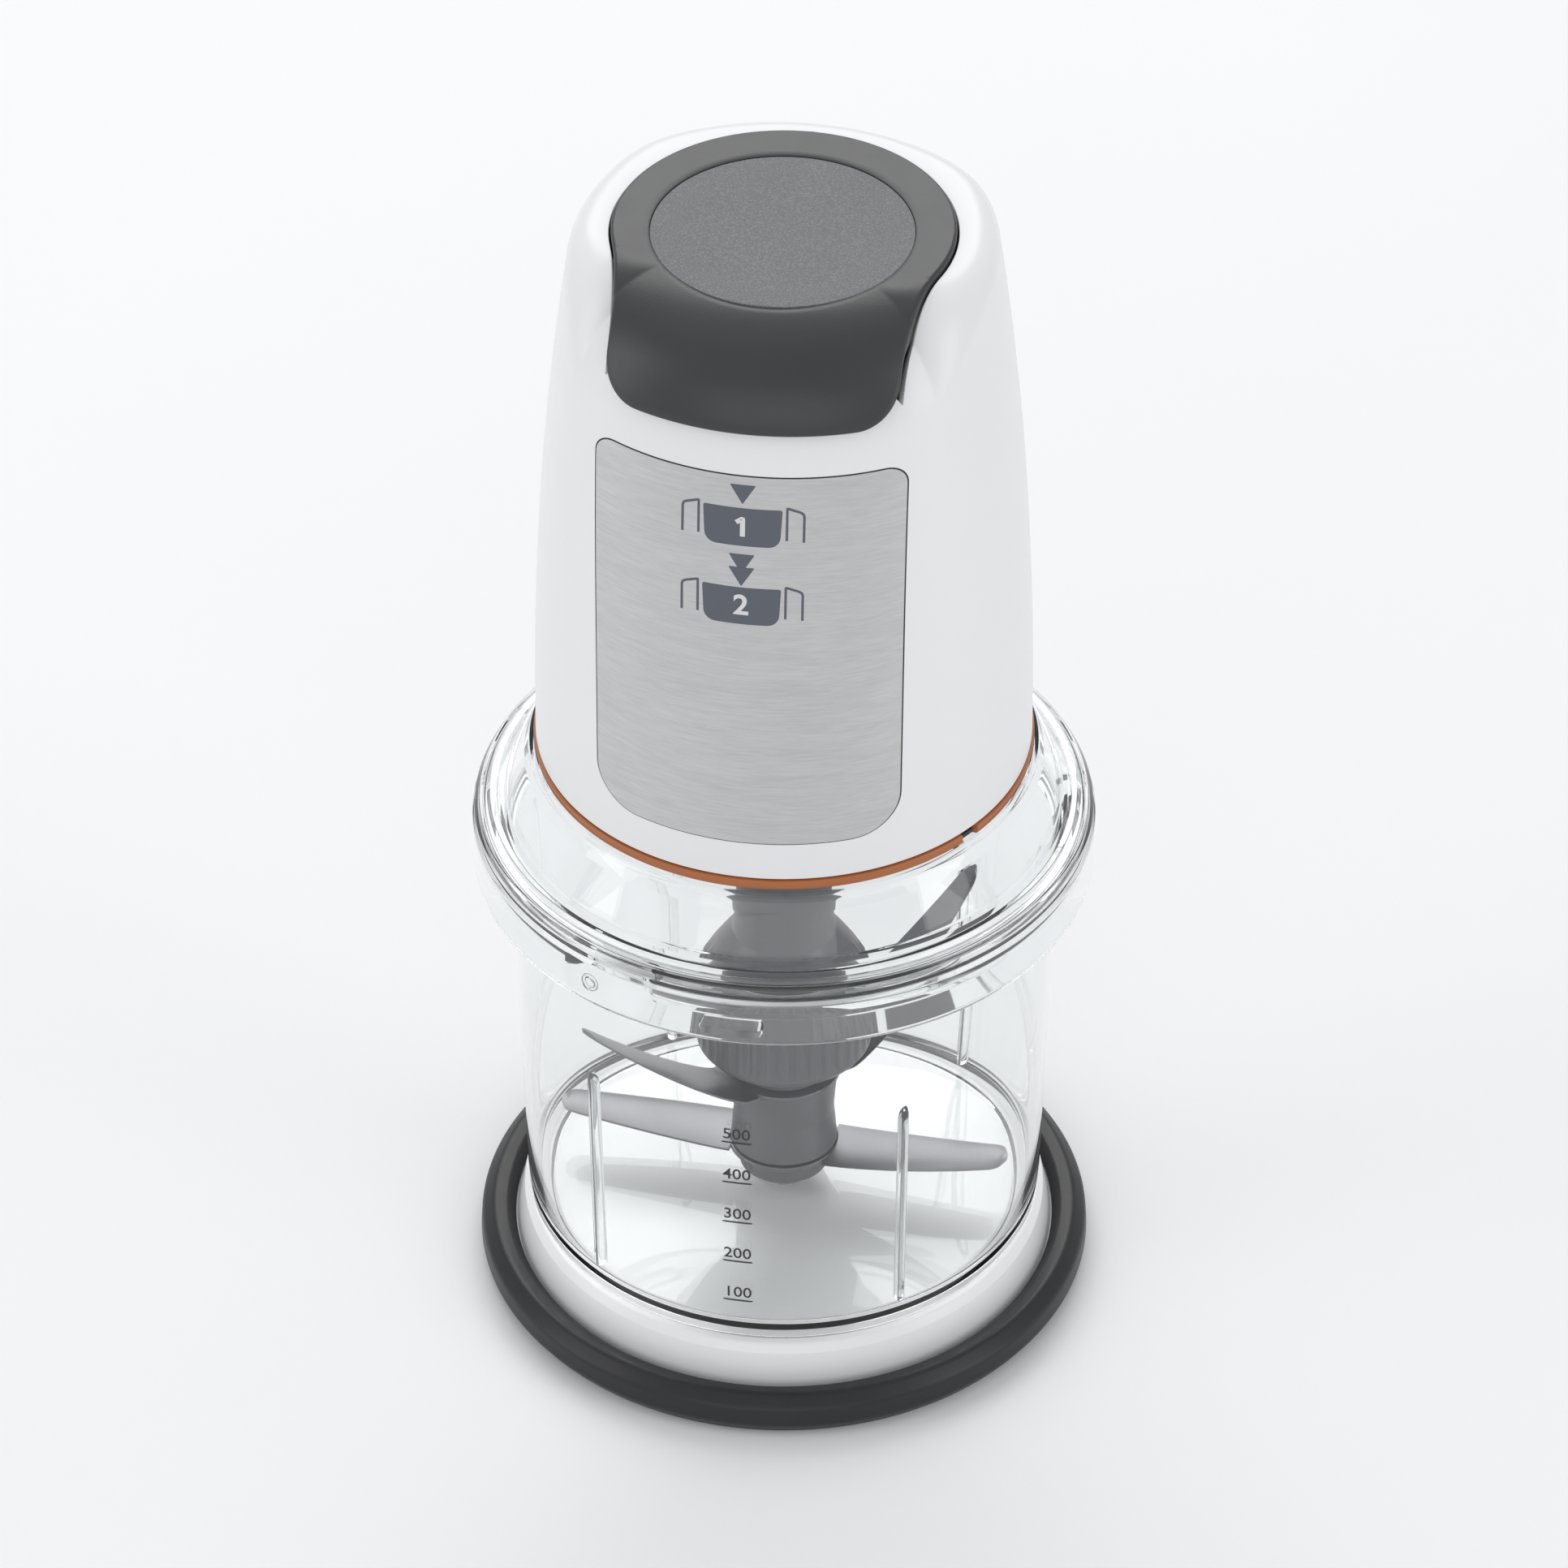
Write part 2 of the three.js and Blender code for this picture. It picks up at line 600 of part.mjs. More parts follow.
// A round wire wound into a coil, with its ends left square.
function coilSpring(radius, height, turns, wire) {
  class Helix extends THREE.Curve {
    getPoint(t, target = new THREE.Vector3()) {
      const a = t * turns * Math.PI * 2;
      return target.set(radius * Math.cos(a), radius * Math.sin(a), wire / 2 + t * (height - wire));
    }
  }
  const section = new THREE.Shape();
  section.absarc(0, 0, wire / 2, 0, Math.PI * 2, false);
  return solid(
    new THREE.ExtrudeGeometry(section, {
      steps: turns * 8,
      extrudePath: new Helix(),
      bevelEnabled: false,
      curveSegments: 3,
    }),
  );
}

// ---- Assembly -----------------------------------------------------------------------------------
const part = new THREE.Group();

function subassembly(z, parent = part) {
  const g = new THREE.Group();
  g.position.z = z;
  parent.add(g);
  return g;
}

function add(parent, name, body, material, x = 0, y = 0, z = 0) {
  const mesh = new THREE.Mesh(geometryOf(body), material);
  mesh.name = name;
  mesh.position.set(x, y, z);
  parent.add(mesh);
  return mesh;
}

const base = subassembly(0);
add(base, "base_lid", baseLid(), white);
add(base, "base_rubber_ring", rubberRing(), rubber);

const bowl = subassembly(BOWL_Z);
add(bowl, "bowl", bowlBody(), clear);
add(bowl, "centre_pin", centrePin(), steel);

const knife = subassembly(0);
add(knife, "knife_stem", knifeStem(), greyPlastic);
add(knife, "lower_knife", turned(knifePlate(49, 1.5, 1.2), -5), steel, 0, 0, LOWER_KNIFE_Z);
add(knife, "knife_spacer", collar(11.4, LOWER_KNIFE_Z + 1.5, UPPER_KNIFE_Z - GAP), greyPlastic);
add(knife, "upper_knife", turned(knifePlate(49.5, 32, 1.2), 40), steel, 0, 0, UPPER_KNIFE_Z);
add(knife, "knife_collar", collar(9.8, UPPER_KNIFE_Z + 1.5, 55.2), greyPlastic);

const cover = subassembly(COVER_Z);
add(cover, "bowl_cover", bowlCover(), clear);

const head = subassembly(HEAD_Z);
add(head, "head_shell", headShell(), white);
add(head, "trim_ring", trimRing(), orange);
add(head, "head_base_plate", headBasePlate(), white);
add(head, "control_panel", controlPanel(), brushed);
add(head, "cord_gland", cordGland(), rubber, 0, 54, 22).rotation.x = Math.PI / 2;
SCREWS.forEach((angle, i) => {
  add(head, `base_screw_${i + 1}`, baseScrew(), steel, ...polar(SCREW_R, angle), 2);
});

const gearbox = subassembly(6.3, head);
add(gearbox, "output_bush", outputBush(), bronze, 0, 0, -2);
add(gearbox, "gearbox_housing", gearboxHousing(), nylon);
add(gearbox, "ring_gear", ringGear(), nylon, 0, 0, 7);
add(gearbox, "planet_carrier", planetCarrier(), steel, 0, 0, 4.3);
add(gearbox, "drive_dog", driveDog(), greyPlastic, 0, 0, -21.6);
add(gearbox, "sun_gear", turned(gear(SUN_TEETH, 2.8), 0), bronze, 0, 0, 7);
[0, 120, 240].forEach((angle, i) => {
  const planet = turned(gear(PLANET_TEETH, 2.1), angle + 180 / PLANET_TEETH);
  add(gearbox, `planet_gear_${i + 1}`, planet, nylon, ...polar(ORBIT, angle), 7);
});

const MOUNT_Z = 22.6;
const STATOR_Z = 41.3;
add(head, "motor_mount", motorMount(), laminations, 0, 0, MOUNT_Z);
add(head, "lower_bearing", ring(2.8, 5.6, 0, 5, 20), bronze, 0, 0, MOUNT_Z);
add(head, "motor_shaft", motorShaft(), steel, 0, 0, 13);
add(head, "cooling_fan", coolingFan(), nylon, 0, 0, 28.5);
add(head, "stator_core", stator(), laminations, 0, 0, STATOR_Z);
add(head, "field_coil_front", fieldCoil(), copper, 0, -15.4, STATOR_Z);
add(head, "field_coil_rear", fieldCoil(), copper, 0, 15.4, STATOR_Z);
add(head, "armature_core", armatureCore(), laminations, 0, 0, STATOR_Z + 1);
add(head, "armature_windings", armatureWindings(), copper, 0, 0, STATOR_Z + 1);
add(head, "commutator", ring(2.8, 9, 0, 8, 24), copper, 0, 0, STATOR_Z + 41);
add(head, "upper_bracket", upperBracket(), laminations, 0, 0, STATOR_Z + 32);
add(head, "upper_bearing", ring(2.8, 5.6, 0, 5, 20), bronze, 0, 0, STATOR_Z + 53);
for (const [side, y] of [["front", -16.6], ["rear", 16.6]]) {
  add(head, `brush_holder_${side}`, brushHolder(), bronze, 0, y, STATOR_Z + 45.8);
  const brush = block(0, 0, 0, 4, 10, 4);
  add(head, `carbon_brush_${side}`, brush, carbon, 0, y * 0.86, STATOR_Z + 45.8);
}
add(head, "circuit_board", block(0, 0, 0, 36, 1.6, 34), board, 0, 33, 56);
add(head, "suppression_capacitor", block(0, 0, 0, 18, 7, 13), yellow, -6, 37.7, 62);
add(head, "rectifier", block(0, 0, 0, 12, 5, 10), carbon, 8, 36.7, 47);
add(head, "interlock_switch", turned(block(44, 0, 19, 7, 8, 8), KEY_ANGLE), carbon);

const TRAY_Z = 101.5;
add(head, "button_tray", buttonTray(), nylon, 0, 0, TRAY_Z);
const switchBody = block(0, -30, 6.4, 16, 9, 8).subtract(disc(2.4, 3, 12, 12).translate([0, -30, 0]));
add(head, "speed_switch", switchBody, carbon, 0, 0, TRAY_Z);
add(head, "switch_plunger", disc(1.9, 0, 6.9, 12), nylon, 0, -30, TRAY_Z + 7.5);
for (const [side, x] of [["left", -22], ["right", 22]]) {
  add(head, `button_spring_${side}`, coilSpring(3.3, 18.9, 5, 1), steel, x, 6, TRAY_Z + 2.3);
}
add(head, "speed_button", speedButton(), buttonGrey);
add(head, "button_pad", buttonPad(), padGrey, 0, PAD_Y);

const interlock = union(block(48.4, 0, 1.1, 5.4, 3.2, 1), block(46.9, 0, 6.2, 2.4, 3.2, 11));
add(head, "interlock_pin", turned(interlock, KEY_ANGLE), carbon);

export default part;
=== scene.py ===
"""The looks of a press-top mini chopper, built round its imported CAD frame.

The sections follow the object from the worktop up: base, bowl, knife, cover, motor head,
panel and button, and then the pieces inside the head. Sizes are in millimetres, and a
mesh is turned into metres when it is made. The front looks along -Y.
"""

import math

import bpy
import numpy as np
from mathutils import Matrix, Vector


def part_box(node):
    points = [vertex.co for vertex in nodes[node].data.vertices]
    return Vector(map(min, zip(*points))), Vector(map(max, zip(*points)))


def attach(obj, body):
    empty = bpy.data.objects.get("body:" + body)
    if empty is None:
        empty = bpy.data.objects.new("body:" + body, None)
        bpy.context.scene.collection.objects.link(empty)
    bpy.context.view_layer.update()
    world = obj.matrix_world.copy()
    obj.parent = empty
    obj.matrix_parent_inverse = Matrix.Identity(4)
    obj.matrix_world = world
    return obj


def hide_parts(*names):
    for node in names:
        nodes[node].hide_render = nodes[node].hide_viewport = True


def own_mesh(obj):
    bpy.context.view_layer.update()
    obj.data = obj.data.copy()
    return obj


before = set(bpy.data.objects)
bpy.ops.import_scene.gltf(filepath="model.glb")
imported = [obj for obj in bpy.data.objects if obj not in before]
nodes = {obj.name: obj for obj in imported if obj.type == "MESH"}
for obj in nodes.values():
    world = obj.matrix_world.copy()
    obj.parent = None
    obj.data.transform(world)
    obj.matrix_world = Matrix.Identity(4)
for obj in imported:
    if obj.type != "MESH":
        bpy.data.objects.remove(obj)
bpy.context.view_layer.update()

# ---- Camera -------------------------------------------------------------------------------
# A long lens looks down on the object, a little from its right. It aims at a point on the
# object's axis just under half its height.
DISTANCE, AIM_Z = 1.5, 0.1252
ELEVATION, AZIMUTH = math.radians(38.7), math.radians(10)
MM = 0.001

lens = bpy.data.cameras.new("camera")
lens.lens, lens.sensor_width, lens.clip_start = 164.5, 36, 0.05
camera = bpy.data.objects.new("camera", lens)
camera.location = (
    DISTANCE * math.sin(AZIMUTH) * math.cos(ELEVATION),
    -DISTANCE * math.cos(AZIMUTH) * math.cos(ELEVATION),
    AIM_Z + DISTANCE * math.sin(ELEVATION),
)
camera.rotation_euler = (math.pi / 2 - ELEVATION, 0, AZIMUTH)
bpy.context.scene.collection.objects.link(camera)
bpy.context.scene.camera = camera
bpy.context.scene.view_settings.view_transform = "Standard"


# ---- Base lid -----------------------------------------------------------------------------
# White moulded polypropylene: a shallow dish turned upside down, with a flange that holds
# the rubber ring. It carries the bowl, and turned over it closes it.
class Wire:
    """One output among a material's nodes. Arithmetic on it adds Math nodes."""

    def __init__(self, tree, socket=None):
        self.tree = tree
        self.socket = socket

    def node(self, kind, settings=None, sockets=None, output=0):
        """Adds a node, then sets its settings, and then its sockets' values or links."""
        made = self.tree.nodes.new("ShaderNode" + kind)
        for key, value in (settings or {}).items():
            setattr(made, key, value)
        for key, value in (sockets or {}).items():
            if isinstance(value, Wire):
                self.tree.links.new(value.socket, made.inputs[key])
            else:
                made.inputs[key].default_value = value
        return Wire(self.tree, made.outputs[output])

    def math(self, operation, *values):
        return self.node("Math", {"operation": operation}, dict(enumerate(values)))

    def __add__(self, other):
        return self.math("ADD", self, other)

    def __sub__(self, other):
        return self.math("SUBTRACT", self, other)

    def __rsub__(self, other):
        return self.math("SUBTRACT", other, self)

    def __mul__(self, other):
        return self.math("MULTIPLY", self, other)

    __radd__ = __add__
    __rmul__ = __mul__

    def above(self, edge, soft):
        """0 below the edge and 1 above it, with a soft step between."""
        ends = {"Value": self, "From Min": edge - soft, "From Max": edge + soft}
        return self.node("MapRange", {"interpolation_type": "SMOOTHSTEP"}, ends)

    def mix(self, low, high):
        """The colour low where this is 0, and the colour high where it is 1."""
        ends = [(*c, 1) if isinstance(c, tuple) else c for c in (low, high)]
        return self.node(
            "Mix", {"data_type": "RGBA"}, {0: self, 6: ends[0], 7: ends[1]}, output=2
        )

    def stretched(self, scale):
        """This vector with each of its parts multiplied."""
        return self.node("Mapping", None, {"Vector": self, "Scale": scale})

    def noise(self, scale, detail=2.0, rough=0.5):
        """Fractal noise from 0 to 1 over this vector, in cells to the metre."""
        given = {"Vector": self, "Scale": scale, "Detail": detail, "Roughness": rough}
        return self.node("TexNoise", None, given)

    def bump(self, depth):
        """The normal of this height from 0 to 1, which stands for a depth in metres."""
        return self.node("Bump", None, {"Height": self, "Distance": depth})


def start_material(name, **constants):
    """A new material: itself, its Object coordinates, and a function that links its looks.

    The constants are set on the shader's own sockets, with spaces written as underscores.
    """
    material = bpy.data.materials.new(name)
    material.use_nodes = True
    tree = material.node_tree
    shader = tree.nodes["Principled BSDF"]
    for key, value in constants.items():
        value = (*value, 1) if isinstance(value, tuple) else value
        shader.inputs[key.replace("_", " ")].default_value = value

    def link(**looks):
        for key, wire in looks.items():
            tree.links.new(wire.socket, shader.inputs[key.replace("_", " ")])

    return material, Wire(tree).node("TexCoord", output="Object"), link


def moulded(name, colour, rough, depth=0.00002, cells=1500.0, shift=0.04, **constants):
    """Moulded plastic: a faint mottle in its colour, and a fine grain that catches light."""
    material, place, link = start_material(name, IOR=1.49, **constants)
    mottle = place.noise(60.0, 3.0)
    dark = tuple(c * (1 - shift) for c in colour)
    light = tuple(min(1, c * (1 + shift)) for c in colour)
    link(
        Base_Color=mottle.mix(dark, light),
        Roughness=rough + (place.noise(220.0, 3.0) - 0.5) * 0.08,
        Normal=place.noise(cells).bump(depth),
    )
    return material


def rounded(corners, steps=5):
    """An outline through corners of (r, z, fillet), each of them turned into a round.

    A round's centre is on the corner's bisector, fillet / sin(half its angle) away. Its
    points are the two directions to its ends, mixed by the sines of their shares of turn.
    """
    c = np.array(corners, float)
    p, fillet = c[:, :2], np.maximum(c[:, 2:], 0.02)
    a, b = np.roll(p, 1, 0) - p, np.roll(p, -1, 0) - p
    la, lb = (np.linalg.norm(v, axis=1, keepdims=True) for v in (a, b))
    a, b = a / la, b / lb
    half = np.arccos(np.clip((a * b).sum(1, keepdims=True), -1, 1)) / 2
    half = np.minimum(half, math.pi / 2 - 1e-3)
    reach = np.minimum(fillet / np.tan(half), 0.49 * np.minimum(la, lb))
    middle = a + b
    middle = middle / np.maximum(np.linalg.norm(middle, axis=1, keepdims=True), 1e-9)
    centre = p + middle * reach / np.cos(half)
    e0, e1 = p + a * reach - centre, p + b * reach - centre
    s = np.linspace(0, 1, steps + 1)[None, :, None]
    turn = (math.pi - 2 * half)[:, None, :]
    mixed = np.sin((1 - s) * turn) * e0[:, None] + np.sin(s * turn) * e1[:, None]
    return (centre[:, None] + mixed / np.sin(turn)).reshape(-1, 2)


def lathe(outline, rounds=192):
    """The outline (r, z) turned about Z: r times cosine and sine of the angle, and z."""
    a = np.linspace(0, 2 * math.pi, rounds, endpoint=False)[:, None]
    r, z = outline[None, :, 0], outline[None, :, 1]
    return np.stack([r * np.cos(a), r * np.sin(a), z + 0 * a], axis=-1)


def place(mesh, name, material, body, stands_for=(), slot=None, sharp=38):
    """Puts a finished mesh on its body, in its material, for the CAD nodes it stands for."""
    mesh.polygons.foreach_set("use_smooth", np.ones(len(mesh.polygons), bool))
    mesh.set_sharp_from_angle(angle=math.radians(sharp))
    mesh.materials.append(material)
    made = bpy.data.objects.new(name, mesh)
    bpy.context.scene.collection.objects.link(made)
    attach(made, body)
    if stands_for:
        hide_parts(*stands_for)
    return made


def piece(name, grid, material, body, slot, stands_for=(), closed=False, sharp=38):
    """A closed mesh from a grid of points in millimetres, which joins on itself round its
    first index. Its second index joins too if it is closed, and else each of its two ends
    is closed by a fan to a middle point. The faces are turned to enclose a volume above 0,
    which is a sixth of the sum of each triangle's triple product.
    """
    n, m = grid.shape[:2]
    ids = np.arange(n * m).reshape(n, m)
    low = ids if closed else ids[:, :-1]
    high = np.roll(ids, -1, 1) if closed else ids[:, 1:]
    quads = np.stack([low, np.roll(low, -1, 0), np.roll(high, -1, 0), high], axis=-1)
    quads = quads.reshape(-1, 4)
    points, faces = grid.reshape(-1, 3), [quads]
    if not closed:
        points = np.vstack([points, grid[:, [0, -1]].mean(0)])
        near, far, ends = ids[:, 0], ids[:, -1], np.full(n, n * m)
        faces.append(np.stack([np.roll(near, -1), near, ends], -1))
        faces.append(np.stack([far, np.roll(far, -1), ends + 1], -1))
    corners = [points[f[:, :3].T] for f in faces] + [points[quads[:, [0, 2, 3]].T]]
    volume = sum((a * np.cross(b, c)).sum() for a, b, c in corners)
    rows = [row for f in faces for row in (f if volume > 0 else f[:, ::-1]).tolist()]
    mesh = bpy.data.meshes.new(name)
    mesh.from_pydata((points * MM).tolist(), [], rows)
    return place(mesh, name, material, body, stands_for, slot, sharp)


white = moulded("white_moulding", (0.84, 0.84, 0.845), 0.3, 0.000008, 900.0, 0.008)
HUB = 0.05  # where an outline starts beside the axis, closed by a fan
BASE_LID = [
    (HUB, 14.4, 0), (53.6, 14.4, 1.5), (55.6, 12, 1), (56.6, 3.8, 0.4), (62, 3.8, 0.4),
    (62, 6.2, 0.4), (58.4, 6.2, 0.2), (58.1, 8, 1.5), (56.7, 15.2, 1), (55.4, 17, 0.8),
    (HUB, 17, 0),
]
piece("base_lid_shell", lathe(rounded(BASE_LID)[5:-5]), white, "base", "white_plastic",
      ["base_lid"])

# ---- Rubber ring --------------------------------------------------------------------------
# Soft black rubber, moulded as one ring and stretched over the flange. It has a flat foot,
# a full outer round, and a thin lip against the base.
rubber = moulded("black_rubber", (0.012, 0.012, 0.013), 0.4, 0.00003, 2200.0, 0.2)
RUBBER_RING = [
    (58.8, 1.4, 0.4), (60.2, 0, 0.4), (64.4, 0, 1.6), (66.5, 3.2, 2.4), (66.2, 7.4, 2.2),
    (63.4, 9.9, 2.0), (60.6, 9.5, 1.0), (58.8, 7.4, 0.5), (58.8, 6.6, 0.1),
    (62.4, 6.6, 0.1), (62.4, 3.4, 0.1), (58.8, 3.4, 0.1),
]
piece("rubber_ring", lathe(rounded(RUBBER_RING), 240), rubber, "base", "black_rubber",
      ["base_rubber_ring"], closed=True)


# ---- Bowl ---------------------------------------------------------------------------------
# Injection-moulded clear plastic, two millimetres thick, with a turned-out rim. Three gaps
# in the rim let the cover's lugs pass. Its surface has the faint scuffs of a washed bowl.
def clear_moulding(name, colour):
    """Polished clear plastic, whose gloss is made uneven by faint wide marks and scuffs."""
    material, place, link = start_material(
        name, Base_Color=colour, IOR=1.49, Transmission_Weight=1.0
    )
    scuffs = place.noise(700.0, 4.0).above(0.62, 0.08)
    link(Roughness=0.008 + place.noise(45.0, 3.0) * 0.014 + scuffs * 0.02)
    return material


clear = clear_moulding("clear_moulding", (0.975, 0.985, 0.985))
BOWL_Z, RIM_Z = 17.3, 113.7
LUGS, LUG_TURN = np.radians([30.0, 150.0, 270.0]), math.radians(25)
BOWL = [
    (HUB, BOWL_Z + 1.2, 0), (50, BOWL_Z + 1.2, 0.6), (51.4, BOWL_Z, 0.5),
    (54.2, BOWL_Z, 0.9), (55.7, BOWL_Z + 1.9, 1.4), (57.5, RIM_Z - 1.2, 0.6),
    (61.8, RIM_Z + 0.2, 0.5), (62.5, RIM_Z + 1.2, 0.5), (62.5, RIM_Z + 5, 0.6),
    (61.6, RIM_Z + 5.6, 0.5), (56.8, RIM_Z + 5.6, 0.6), (55.4, RIM_Z - 1, 3),
    (53.7, BOWL_Z + 5.4, 3), (51.4, BOWL_Z + 3.4, 2), (6.2, BOWL_Z + 3.4, 0.4),
    (5.8, BOWL_Z + 5.6, 0.3), (HUB, BOWL_Z + 5.6, 0),
]
shape = lathe(rounded(BOWL)[5:-5], 288)
angle = np.arctan2(shape[..., 1], shape[..., 0])
radius = np.hypot(shape[..., 0], shape[..., 1])
off = np.abs((angle[..., None] - LUGS + LUG_TURN + math.pi) % (2 * math.pi) - math.pi)
gap = 1 / (1 + np.exp((off.min(-1) - math.radians(8.4)) * 160))
over = np.maximum(radius - 57.9, 0) * gap * (shape[..., 2] > RIM_Z - 1.6)
shape[..., :2] *= ((radius - over) / radius)[..., None]
bowl_skin = piece("clear_bowl", shape, clear, "bowl", "clear_plastic", ["bowl"])
bowl_skin.visible_shadow = False


def rib_bar(angle, foot, height, inner, outer, half):
    """A thin upright bar inside the wall, which leans out with it.

    Its plan is a rounded box: the half width times a sine, and the half depth times the
    root of a cosine. Over its last 4 mm it narrows and draws back to the wall.
    """
    t = np.linspace(0, 2 * math.pi, 20, endpoint=False)[:, None]
    z = np.array([foot, *np.linspace(foot + 1, height - 4, 8), height - 2, height - 0.7, height])
    tip = np.clip((z - (height - 4)) / 4, 0, 1)[None]
    side = np.sin(t) * half * np.sqrt(1 - 0.8 * tip**2)
    lean = (z[None] - foot) / (height - foot) * 1.0
    reach = (outer - inner) / 2
    depth = (inner + outer) / 2 + lean + np.sign(np.cos(t)) * np.abs(np.cos(t)) ** 0.5 * reach
    depth = depth + tip**2 * np.where(np.cos(t) < 0, reach * 1.2, 0)
    x = depth * math.cos(angle) - side * math.sin(angle)
    y = depth * math.sin(angle) + side * math.cos(angle)
    return np.stack([x, y, z[None] + 0 * t], axis=-1)


for degrees in (-127.5, -52.5, 52.5, 127.5):
    bar = rib_bar(math.radians(degrees), BOWL_Z + 5.6, 78, 50.7, 53.4, 0.9)
    rib = piece(f"bowl_rib_{int(degrees % 360)}", bar, clear, "bowl", "clear_plastic")
    rib.visible_shadow = False


def arc_bar(turn, width, inner, outer, z0, z1):
    """A bar of box section, bent round Z over a width of angle, with its ends drawn in."""
    t = np.linspace(-1, 1, 24)[None, :]
    corners = np.array([[inner, z0], [outer, z0], [outer, z1], [inner, z1]])[:, None, :]
    middle = corners.mean(0, keepdims=True)
    corners = middle + (corners - middle) * np.sqrt(1 - np.abs(t) ** 10 * 0.9)[..., None]
    a, r, z = turn + t * width / 2, corners[..., 0], corners[..., 1]
    return np.stack([r * np.cos(a), r * np.sin(a), z + 0 * a], axis=-1)


def letters(words, size, bold, wrap):
    """Flat letters as a mesh, whose points (x, y, thickness) are moved by wrap."""
    curve = bpy.data.curves.new(words, "FONT")
    curve.body, curve.size, curve.offset = words, size, bold
    curve.align_x, curve.align_y = "CENTER", "CENTER"
    curve.extrude, curve.resolution_u = 0.02, 4
    flat = bpy.data.objects.new(words, curve)
    bpy.context.scene.collection.objects.link(flat)
    bpy.context.view_layer.update()
    mesh = bpy.data.meshes.new_from_object(flat)
    bpy.data.objects.remove(flat)
    co = np.zeros(len(mesh.vertices) * 3)
    mesh.vertices.foreach_get("co", co)
    mesh.vertices.foreach_set("co", (wrap(co.reshape(-1, 3)) * MM).ravel())
    return mesh


def on_bowl(z):
    """Wraps letters at height z: x becomes an angle at the bowl's front, y a height."""
    r = 55.75 + (z - BOWL_Z) * 0.0189 + 0.1

    def wrap(co):
        a = co[:, 0] / r
        out = r + co[:, 2]
        return np.stack([out * np.sin(a), -out * np.cos(a), z + co[:, 1]], 1)

    return wrap


# The volume marks: dark grey ink on the bowl's front, each a number over a short line.
bowl_ink = moulded("bowl_ink", (0.035, 0.035, 0.04), 0.5)
for volume in (100, 200, 300, 400, 500):
    z = 18.2 + volume * 0.1128
    mark = letters(str(volume), 4.0, 0.03, on_bowl(z + 2.2))
    place(mark, f"volume_mark_{volume}", bowl_ink, "bowl", slot="black_plastic")
    r = 55.75 + (z - BOWL_Z) * 0.0189
    bar = arc_bar(-math.pi / 2, 6.5 / r, r + 0.07, r + 0.13, z - 0.25, z + 0.15)
    piece(f"volume_line_{volume}", bar, bowl_ink, "bowl", "black_plastic")


# ---- Centre pin ---------------------------------------------------------------------------
# A turned stainless pin, pressed into the bowl's floor, with a chamfered top.
def drawn_steel(name, colour, rough, stretch, cells, depth=0.000004):
    """Brushed or turned steel: noise drawn out along the tool's direction."""
    material, place, link = start_material(name, Metallic=1.0)
    lines = place.stretched(stretch).noise(cells, 3.0, 0.6)
    link(
        Base_Color=lines.mix(tuple(c * 0.84 for c in colour), colour),
        Roughness=rough + (place.noise(40.0) - 0.5) * 0.12,
        Normal=lines.bump(depth),
    )
    return material


turned_steel = drawn_steel("turned_steel", (0.62, 0.62, 0.64), 0.24, (1, 1, 14), 260.0)
PIN = [(HUB, 19.5, 0), (3, 19.5, 0.1), (3, 69.6, 0.3), (2.2, 70.7, 0.2), (HUB, 70.7, 0)]
piece("pin", lathe(rounded(PIN)[5:-5], 48), turned_steel, "bowl", "bright_steel",
      ["centre_pin"])

# ---- Knife --------------------------------------------------------------------------------
# A grey nylon stem with a ribbed grip to lift it by. Two ground steel plates are clamped on
# it: the lower one sweeps the floor, and the wings of the upper one stand up and out.
stem_grey = moulded("grey_nylon", (0.108, 0.108, 0.117), 0.36, 0.00002, 1600.0, 0.08)
GRIP_RIBS = 36
STEM = [
    (HUB, 72, 0), (3.4, 72, 0.3), (3.4, 23.4, 0.3), (9.5, 23.4, 0.8), (9.5, 28.7, 0.5),
    (7.6, 28.7, 0.2), (7.6, 56, 0.3), (17.0, 58.6, 0.9), (18.2, 60.4, 0.8),
    (18.2, 76.4, 1.2), (16.6, 79.4, 1.6), (14.0, 83.6, 1.6), (11.0, 87.8, 2.0),
    (10.4, 92, 3), (10.4, 134, 0.5), (8.9, 134, 0.4), (8.9, 121, 0.4), (HUB, 121, 0),
]
grip = np.linspace([18.2, 61.5], [18.2, 75.2], 10)
shape = lathe(np.insert(rounded(STEM, 4), 45, grip, axis=0)[4:-4], 480)
turn = np.arctan2(shape[..., 1], shape[..., 0])
radius = np.hypot(shape[..., 0], shape[..., 1])
level = np.clip((shape[..., 2] - 61.2) / 1.2, 0, 1) * np.clip((80.4 - shape[..., 2]) / 3.0, 0, 1)
groove = 0.5 * np.clip(0.5 - 0.9 * np.cos(GRIP_RIBS * turn), 0, 1) * level * (radius > 15)
shape[..., :2] *= ((radius - groove) / radius)[..., None]
piece("stem", shape, stem_grey, "knife", "dark_grey_plastic", ["knife_stem"])

SPACER = [(7.9, 30.5, 0.2), (11.4, 30.5, 0.5), (10.6, 40, 3), (11.2, 49.7, 0.5), (7.9, 49.7, 0.2)]
piece("spacer", lathe(rounded(SPACER), 96), stem_grey, "knife", "dark_grey_plastic",
      ["knife_spacer"], closed=True)
COLLAR = [(7.9, 51.5, 0.2), (9.8, 51.5, 0.4), (9.4, 55.2, 0.4), (7.9, 55.2, 0.2)]
piece("clamp_collar", lathe(rounded(COLLAR), 96), stem_grey, "knife", "dark_grey_plastic",
      ["knife_collar"], closed=True)

blade_steel = drawn_steel("ground_steel", (0.21, 0.21, 0.22), 0.3, (6, 1, 1), 300.0)


